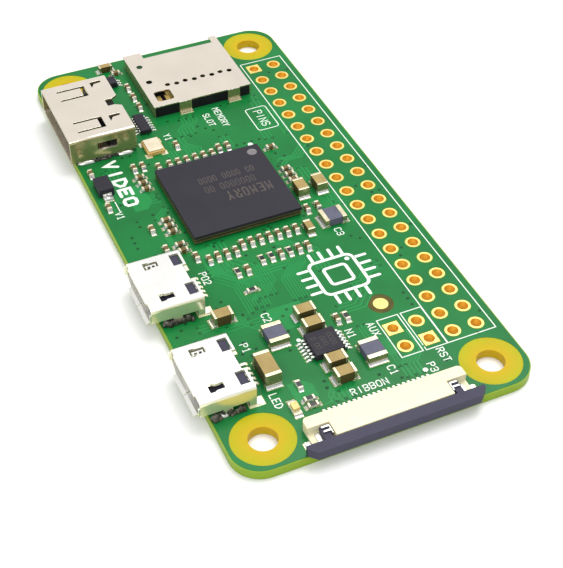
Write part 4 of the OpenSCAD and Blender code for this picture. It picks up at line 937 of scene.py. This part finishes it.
# Boxes: anchor, half sizes, offset from the anchor, corner radius, share of the print's thickness
LEGEND_BOXES = [
    ("header_pins", (25.45, 2.6), (-0.05, 0.1), 0.0, 1.0),
    ("run_pins", (2.65, 1.12), (-0.11, 0.14), 0.0, 0.7),
    ("tv_pins", (2.62, 1.12), (-0.13, 0.12), 0.0, 1.0),
    ("card_socket_cover", (2.15, 1.25), (10.4, 5.23), 0.35, 1.0),
]

# Dots beside first pins: anchor, offset from it, radius
LEGEND_DOTS = [
    ("memory_mould", (-7.4, 5.8), 0.3),
    ("regulator_body", (-1.7, -1.85), 0.22),
    ("ribbon_housing", (-3.05, 5.4), 0.26),
]


def add_legend_box(bm, anchor, half, offset, radius, thick):
    s = sizes()
    at = spot(anchor) + Vector(offset) * MM
    x, y = half[0] * MM, half[1] * MM
    x0, y0, x1, y1 = at.x - x, at.y - y, at.x + x, at.y + y
    corners = round_rectangle(x0, y0, x1, y1, radius * MM) if radius else [(x0, y0), (x1, y0), (x1, y1), (x0, y1)]
    add_stroke(bm, corners, s.legend_line, TOP, TOP + s.legend_thick * thick, closed=True)


def add_chip_symbol(bm, at, z0, z1):
    """Plain line drawing of a chip with pins, a core and a corner dot."""
    half, line = 2.4 * MM, 0.34 * MM
    for reach, radius in ((half, 0.7 * MM), (1.2 * MM, 0.35 * MM)):
        add_stroke(bm, round_rectangle(*in_plan((at, at), reach), radius), line, z0, z1, True)
    start, end = half + line * 0.8, half + 1.3 * MM
    for k in (-1.5, -0.5, 0.5, 1.5):
        side = k * 1.1 * MM
        for sign in (-1, 1):
            across = [(at.x + sign * start, at.y + side), (at.x + sign * end, at.y + side)]
            along = [(at.x + side, at.y + sign * start), (at.x + side, at.y + sign * end)]
            add_stroke(bm, across, line, z0, z1)
            add_stroke(bm, along, line, z0, z1)
    add_slab(bm, circle_outline(at.x - 1.75 * MM, at.y + 1.75 * MM, 0.26 * MM, 16), z0, z1)


class BOARD_OT_legend(bpy.types.Operator):
    """Print the boxes, words, dots and chip symbol on the mask"""

    bl_idname = "board.legend"
    bl_label = "Printed legend"

    def execute(self, context):
        s = sizes()
        z0, z1 = TOP, TOP + s.legend_thick
        bm = bmesh.new()
        for words, anchor, offset, share, turn in LEGEND_WORDS:
            at = spot(anchor) + Vector(offset) * MM
            bold = share > 1.5
            add_lettering(bm, words, s.letter_height * share, at, turn, z0, z1, s.legend_line * (3.6 if bold else 1),
                          1.3 if bold else 0.9)
        for box in LEGEND_BOXES:
            add_legend_box(bm, *box)
        add_chip_symbol(bm, spot("regulator_body") + Vector((-8.4, 5.6)) * MM, z0, z1)
        for anchor, offset, radius in LEGEND_DOTS:
            at = spot(anchor) + Vector(offset) * MM
            add_slab(bm, circle_outline(at.x, at.y, radius * MM, 16), z0, z1)
        at = spot("diode_body") + Vector((3.25, 0.44)) * MM
        add_stroke(bm, [at + Vector((-0.85 * MM, 0)), at + Vector((0.85 * MM, 0))], s.legend_line, z0, z1)
        finish_piece(bm, "printed_legend", "white_legend_ink")
        return {"FINISHED"}


# ---- Solder ----

# How far solder stays inside a land's rim
RIM = 0.02 * MM

# Metal ends that get a fillet, and how far it climbs as a share of their height
FILLET_CLIMB = {
    "small_capacitor_ends": 0.72,
    "power_capacitor_ends": 0.2,
    "resistor_ends": 0.7,
    "inductor_ends": 0.25,
    "lamp_ends": 0.6,
    "diode_leads": 0.5,
}

# Mounds at the shells' tabs: shell, places along its side, half length, distance in from the side
TAB_MOUNDS = [
    ("video_port_shell", (0.227, 0.813), 1.05 * MM, 0.12 * MM),
    ("data_port_shell", (0.4,), 0.6 * MM, 0.24 * MM),
    ("power_port_shell", (0.4,), 0.6 * MM, 0.24 * MM),
]
# Rough mounds along each side of a shell, nearly black with painted shade
ROUGH_MOUNDS = 13


def add_fillet(bm, land, end, climb, steps):
    """Concave solder skirt from a land's rim up to the faces of a metal end."""
    height = (end[1].z - TOP) * climb
    low = list(in_plan(land, -RIM))
    high = in_plan(end, RIM)
    reach = [high[0] - low[0], high[1] - low[1], low[2] - high[2], low[3] - high[3]]
    if min(reach) < 0:
        inner = reach.index(min(reach))
        low[inner] = high[inner]
    spans = [max(r, 0.0) for r in reach]
    inner = spans.index(min(spans))
    low[inner] = high[inner]
    rings = []
    for i in range(steps + 1):
        t = i / steps
        rise = 1 - math.cos(t * math.pi / 2)
        run = math.sin(t * math.pi / 2)
        box = [a + (b - a) * run for a, b in zip(low, high)]
        radius = min(box[2] - box[0], box[3] - box[1]) * 0.18
        rings.append([(x, y, TOP + height * rise) for x, y in round_rectangle(*box, radius, 3)])
    add_ring_stack(bm, rings)


def over(a, b):
    """Whether two boxes overlap in plan."""
    return a[0].x < b[1].x and a[1].x > b[0].x and a[0].y < b[1].y and a[1].y > b[0].y


def add_lead_solder(bm, land, lead):
    """Thin rounded cushion of solder under a lead."""
    x0, y0, x1, y1 = in_plan(land, -RIM)
    rings = []
    for inset, rise in ((0.0, 0.0), (0.01 * MM, 0.04 * MM), (0.04 * MM, 0.065 * MM)):
        outline = round_rectangle(x0 + inset, y0 + inset, x1 - inset, y1 - inset, 0.04 * MM, 3)
        rings.append([(x, y, TOP + rise) for x, y in outline])
    add_ring_stack(bm, rings)


class BOARD_OT_solder(bpy.types.Operator):
    """Run solder fillets from the lands up the metal ends and around the shells' tabs"""

    bl_idname = "board.solder"
    bl_label = "Solder fillets"

    def execute(self, context):
        steps = sizes().fillet_steps
        for node, climb in FILLET_CLIMB.items():
            self.solder_node(node, functools.partial(add_fillet, climb=climb, steps=steps))
        for node in ("regulator_leads", "protection_array_leads", "small_chip_leads"):
            self.solder_node(node, add_lead_solder)
        self.solder_tabs()
        return {"FINISHED"}

    def solder_node(self, node, add):
        """Solder for every solid of a node that stands over a land."""
        bm = bmesh.new()
        for metal in islands(node):
            land = next((land for land in islands("smd_lands") if over(metal, land)), None)
            if land:
                add(bm, land, metal)
        name = node.replace("_ends", "").replace("_leads", "") + "_solder"
        finish_piece(bm, name, "bright_solder", smooth=True)

    def solder_tabs(self):
        """Low mounds of solder where the shells' tabs pass through the board, and rough ones between them, nearly
        black: solder lumps with painted shade along the shells' sides.
        """
        random.seed(7)
        for shell, places, half_length, inset in TAB_MOUNDS:
            low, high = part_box(shell)
            bm = bmesh.new()
            for share in places:
                for x in (low.x + inset, high.x - inset):
                    y = low.y + (high.y - low.y) * share
                    self.add_mound(bm, x, y, 0.42 * MM, half_length, 0.34 * MM)
            finish_piece(bm, shell.replace("_shell", "_solder"), "bright_solder", smooth=True)
            rough = bmesh.new()
            for x, side in ((low.x, 1), (high.x, -1)):
                for k in range(ROUGH_MOUNDS):
                    y = low.y + (high.y - low.y) * (0.27 + 0.037 * k + random.uniform(-0.015, 0.015))
                    self.add_mound(rough, x + side * random.uniform(-0.05, 0.3) * MM, y,
                                   random.uniform(0.14, 0.34) * MM, random.uniform(0.2, 0.55) * MM,
                                   random.uniform(0.15, 0.75) * MM, 0.16)
            finish_piece(rough, shell.replace("_shell", "_rough_solder"), "dull_solder", smooth=True)

    def add_mound(self, bm, x, y, rx, ry, height, ragged=0.06):
        """A mound on an oval foot whose rim is a little wavy, in a way that depends on its place."""
        rings = []
        for r, h in ((1.0, 0.0), (0.93, 0.3), (0.74, 0.7), (0.45, 0.94), (0.12, 1.0)):
            ring = []
            for i in range(18):
                angle = math.tau * i / 18
                wave = 1 + ragged * (math.sin(3 * angle + x * 9000) + 0.6 * math.sin(5 * angle + y * 7000)) * r
                ring.append((x + rx * r * wave * math.cos(angle), y + ry * r * wave * math.sin(angle),
                             TOP + height * h))
            rings.append(ring)
        add_ring_stack(bm, rings)


# ---- Processor and memory ----

# Marks on the package: text, height, offset from its middle, line, width of a letter against its height
PACKAGE_WORDS = [
    ("MEMORY", 1.5, (1.2, 2.1), 0.2, 0.55),
    ("0000000 00", 1.1, (-0.6, 0.6), 0.1, 0.5),
    ("00 0000 0000", 1.0, (-2.2, 0.8), 0.1, 0.5),
]
REGULATOR_WORDS = ("0000", "000", "0 00")


class BOARD_OT_packages(bpy.types.Operator):
    """Round and mark the stacked packages and the small chips"""

    bl_idname = "board.packages"
    bl_label = "Packages and chips"

    def execute(self, context):
        s = sizes()
        soften("memory_mould processor_mould regulator_body diode_body protection_array_body small_chip_body",
               s.plastic_round)
        soften("regulator_leads diode_leads protection_array_leads small_chip_leads", s.sheet_round * 0.6, 1)
        self.mark_package()
        self.mark_regulator()
        return {"FINISHED"}

    def mark_package(self):
        """Laser marks and the polished dimple beside the first ball."""
        low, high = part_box("memory_mould")
        centre = ((low + high) / 2).to_2d()
        z0, z1 = high.z, high.z + 0.004 * MM
        marks = bmesh.new()
        for words, height, offset, line, wide in PACKAGE_WORDS:
            add_lettering(marks, words, height * MM, centre + Vector(offset) * MM, -90, z0, z1, line * MM, wide)
        finish_piece(marks, "package_laser_marks", "laser_mark")
        dimple = bmesh.new()
        at = Vector((low.x, high.y)) + Vector((1.2, -1.1)) * MM
        rings = [(0.55, 0.0), (0.53, 1.0), (0.47, 1.0), (0.42, 0.3)]
        add_ring_stack(dimple, [[(x, y, z0 + (z1 - z0) * h) for x, y in circle_outline(at.x, at.y, r * MM, 32)]
                                for r, h in rings])
        finish_piece(dimple, "package_first_ball_mark", "polished_mould", smooth=True)

    def mark_regulator(self):
        low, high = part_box("regulator_body")
        middle = ((low + high) / 2).to_2d()
        marks = bmesh.new()
        for row, words in enumerate(REGULATOR_WORDS):
            at = middle + Vector((0, 0.75 - 0.8 * row)) * MM
            add_lettering(marks, words, 0.5 * MM, at, 0, high.z, high.z + 0.003 * MM, 0.05 * MM)
        finish_piece(marks, "regulator_laser_marks", "laser_mark")


# ---- Ports and sockets ----


class BOARD_OT_ports(bpy.types.Operator):
    """Round the sheet metal and blocks of the video, data and power ports"""

    bl_idname = "board.ports"
    bl_label = "Ports"

    def execute(self, context):
        s = sizes()
        soften("video_port_shell data_port_shell power_port_shell", s.sheet_round, 2, 40)
        soften("video_port_insulator data_port_insulator power_port_insulator", s.sheet_round, 1)
        soften("video_port_contacts data_port_contacts power_port_contacts", CONTACT_ROUND, 1)
        for shell in ("data_port_shell", "power_port_shell"):
            self.add_spring(shell)
        return {"FINISHED"}

    def add_spring(self, shell):
        """Three-fingered holding spring that shows in a small port's window."""
        low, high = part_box(shell)
        at = Vector(((low.x + high.x) / 2 - 2.35 * MM, low.y + 2.37 * MM))
        z0, z1 = high.z - 0.2 * MM, high.z - 0.1 * MM
        bm = bmesh.new()
        width = 0.15 * MM
        strokes = [((-0.02, -0.5), (-0.02, 0.5))] + [((-0.02, y), (0.3, y)) for y in (-0.45, 0.02, 0.45)]
        for k, (a, b) in enumerate(strokes):
            add_stroke(bm, [at + Vector(a) * MM, at + Vector(b) * MM], width, z0, z1 + k * 0.001 * MM)
        finish_piece(bm, shell.replace("_shell", "_window_spring"), "bright_port_steel")


class BOARD_OT_card_socket(bpy.types.Operator):
    """Round the cover, base and springs of the card socket"""

    bl_idname = "board.card_socket"
    bl_label = "Card socket"

    def execute(self, context):
        s = sizes()
        soften("card_socket_cover", s.sheet_round * 0.7, 2, 40)
        soften("card_socket_base", s.sheet_round, 1)
        soften("card_socket_contacts", 0.01 * MM, 1)
        soften("card_socket_detect_spring", CONTACT_ROUND, 1)
        return {"FINISHED"}


class BOARD_OT_ribbon_connector(bpy.types.Operator):
    """Round the housing, the sliding latch and the contacts of the ribbon connector"""

    bl_idname = "board.ribbon_connector"
    bl_label = "Ribbon connector"

    def execute(self, context):
        s = sizes()
        soften("ribbon_housing", s.plastic_round)
        soften("ribbon_latch", s.plastic_round * 1.3)
        soften("ribbon_contacts", CONTACT_ROUND, 1)
        soften("ribbon_solder_tabs", s.sheet_round * 0.7)
        return {"FINISHED"}


class BOARD_OT_chips(bpy.types.Operator):
    """Round the capacitors, resistors, inductors, crystal and lamp"""

    bl_idname = "board.chips"
    bl_label = "Chips"

    def execute(self, context):
        s = sizes()
        soften("small_capacitor_bodies power_capacitor_bodies inductor_cores crystal_base crystal_lid lamp_base",
               s.chip_round)
        soften("small_capacitor_ends power_capacitor_ends inductor_ends lamp_lens", s.chip_round * 1.2)
        soften("resistor_bodies resistor_coats resistor_ends lamp_ends", TINY_CHIP_ROUND, 1)
        return {"FINISHED"}


# ---- Stage ----


class BOARD_OT_stage(bpy.types.Operator):
    """Set up the floor, soft light and camera"""

    bl_idname = "board.stage"
    bl_label = "Stage"

    def execute(self, context):
        scene = context.scene
        given = scene.board_stage
        self.add_floor(given)
        world = bpy.data.worlds.new("Even white room")
        world.use_nodes = True
        room = world.node_tree.nodes["Background"].inputs
        room["Color"].default_value = (1.0, 1.0, 1.0, 1.0)
        room["Strength"].default_value = given.room_light
        scene.world = world
        self.add_lamp(given, "Soft overhead lamp", (-0.06, 0.1, 0.3), 0.24, 1.0)
        self.add_lamp(given, "Soft side lamp", (0.16, -0.12, 0.16), 0.16, 0.25)
        lens = bpy.data.cameras.new("Camera")
        lens.lens = given.lens
        lens.sensor_width = 36
        lens.clip_start = 0.005
        lens.clip_end = 5
        camera = bpy.data.objects.new("Camera", lens)
        scene.collection.objects.link(camera)
        camera.location = given.camera_from
        aim = Vector(given.camera_to) - Vector(given.camera_from)
        camera.rotation_euler = aim.to_track_quat("-Z", "Y").to_euler()
        scene.camera = camera
        scene.view_settings.view_transform = "Standard"
        return {"FINISHED"}

    def add_floor(self, given):
        """A wide pale disc just under the board, on no body of the frame."""
        colour = tuple(given.floor)
        make_finish("pale_floor", colour, shade(colour, 0.98), patch=9.0, speck=300.0, share=0.1, rough=0.6,
                    grain=300.0, bump=0.02)
        bm = bmesh.new()
        add_slab(bm, circle_outline(0, 0, 3000 * MM, 64), -20 * MM, -0.02 * MM)
        floor = make_object(bm, "floor", "pale_floor")

    def add_lamp(self, given, name, place, size, share):
        """A round soft lamp that looks at the board's middle."""
        light = bpy.data.lights.new(name, "AREA")
        light.shape = "DISK"
        light.size = size
        light.energy = given.lamp_power * share
        lamp = bpy.data.objects.new(name, light)
        bpy.context.scene.collection.objects.link(lamp)
        lamp.location = place
        lamp.rotation_euler = (-Vector(place)).to_track_quat("-Z", "Y").to_euler()


class BOARD_OT_finishes(bpy.types.Operator):
    """Make every finish and coat the frame's nodes with them"""

    bl_idname = "board.finishes"
    bl_label = "Finishes"

    def execute(self, context):
        make_finishes()
        coat_nodes()
        return {"FINISHED"}


OPERATORS = (
    BOARD_OT_finishes,
    BOARD_OT_laminate,
    BOARD_OT_legend,
    BOARD_OT_solder,
    BOARD_OT_packages,
    BOARD_OT_ports,
    BOARD_OT_card_socket,
    BOARD_OT_ribbon_connector,
    BOARD_OT_chips,
    BOARD_OT_stage,
)


class BOARD_PT_sidebar(bpy.types.Panel):
    """Lists the board's operators and settings"""

    bl_idname = "BOARD_PT_sidebar"
    bl_label = "Board"
    bl_space_type = "VIEW_3D"
    bl_region_type = "UI"
    bl_category = "Board"

    def draw(self, context):
        for operator in OPERATORS:
            self.layout.operator(operator.bl_idname)
        for group in (context.scene.board_finishes, context.scene.board_sizes, context.scene.board_stage):
            for name in type(group).__annotations__:
                self.layout.prop(group, name)


CLASSES = (BoardFinishes, BoardSizes, StageSettings, *OPERATORS, BOARD_PT_sidebar)


def register():
    for cls in CLASSES:
        bpy.utils.register_class(cls)
    bpy.types.Scene.board_finishes = PointerProperty(type=BoardFinishes)
    bpy.types.Scene.board_sizes = PointerProperty(type=BoardSizes)
    bpy.types.Scene.board_stage = PointerProperty(type=StageSettings)


def unregister():
    del bpy.types.Scene.board_stage
    del bpy.types.Scene.board_sizes
    del bpy.types.Scene.board_finishes
    for cls in reversed(CLASSES):
        bpy.utils.unregister_class(cls)


def main():
    register()
    for operator in OPERATORS:
        group, name = operator.bl_idname.split(".")
        getattr(getattr(bpy.ops, group), name)()


if __name__ == "__main__":
    main()
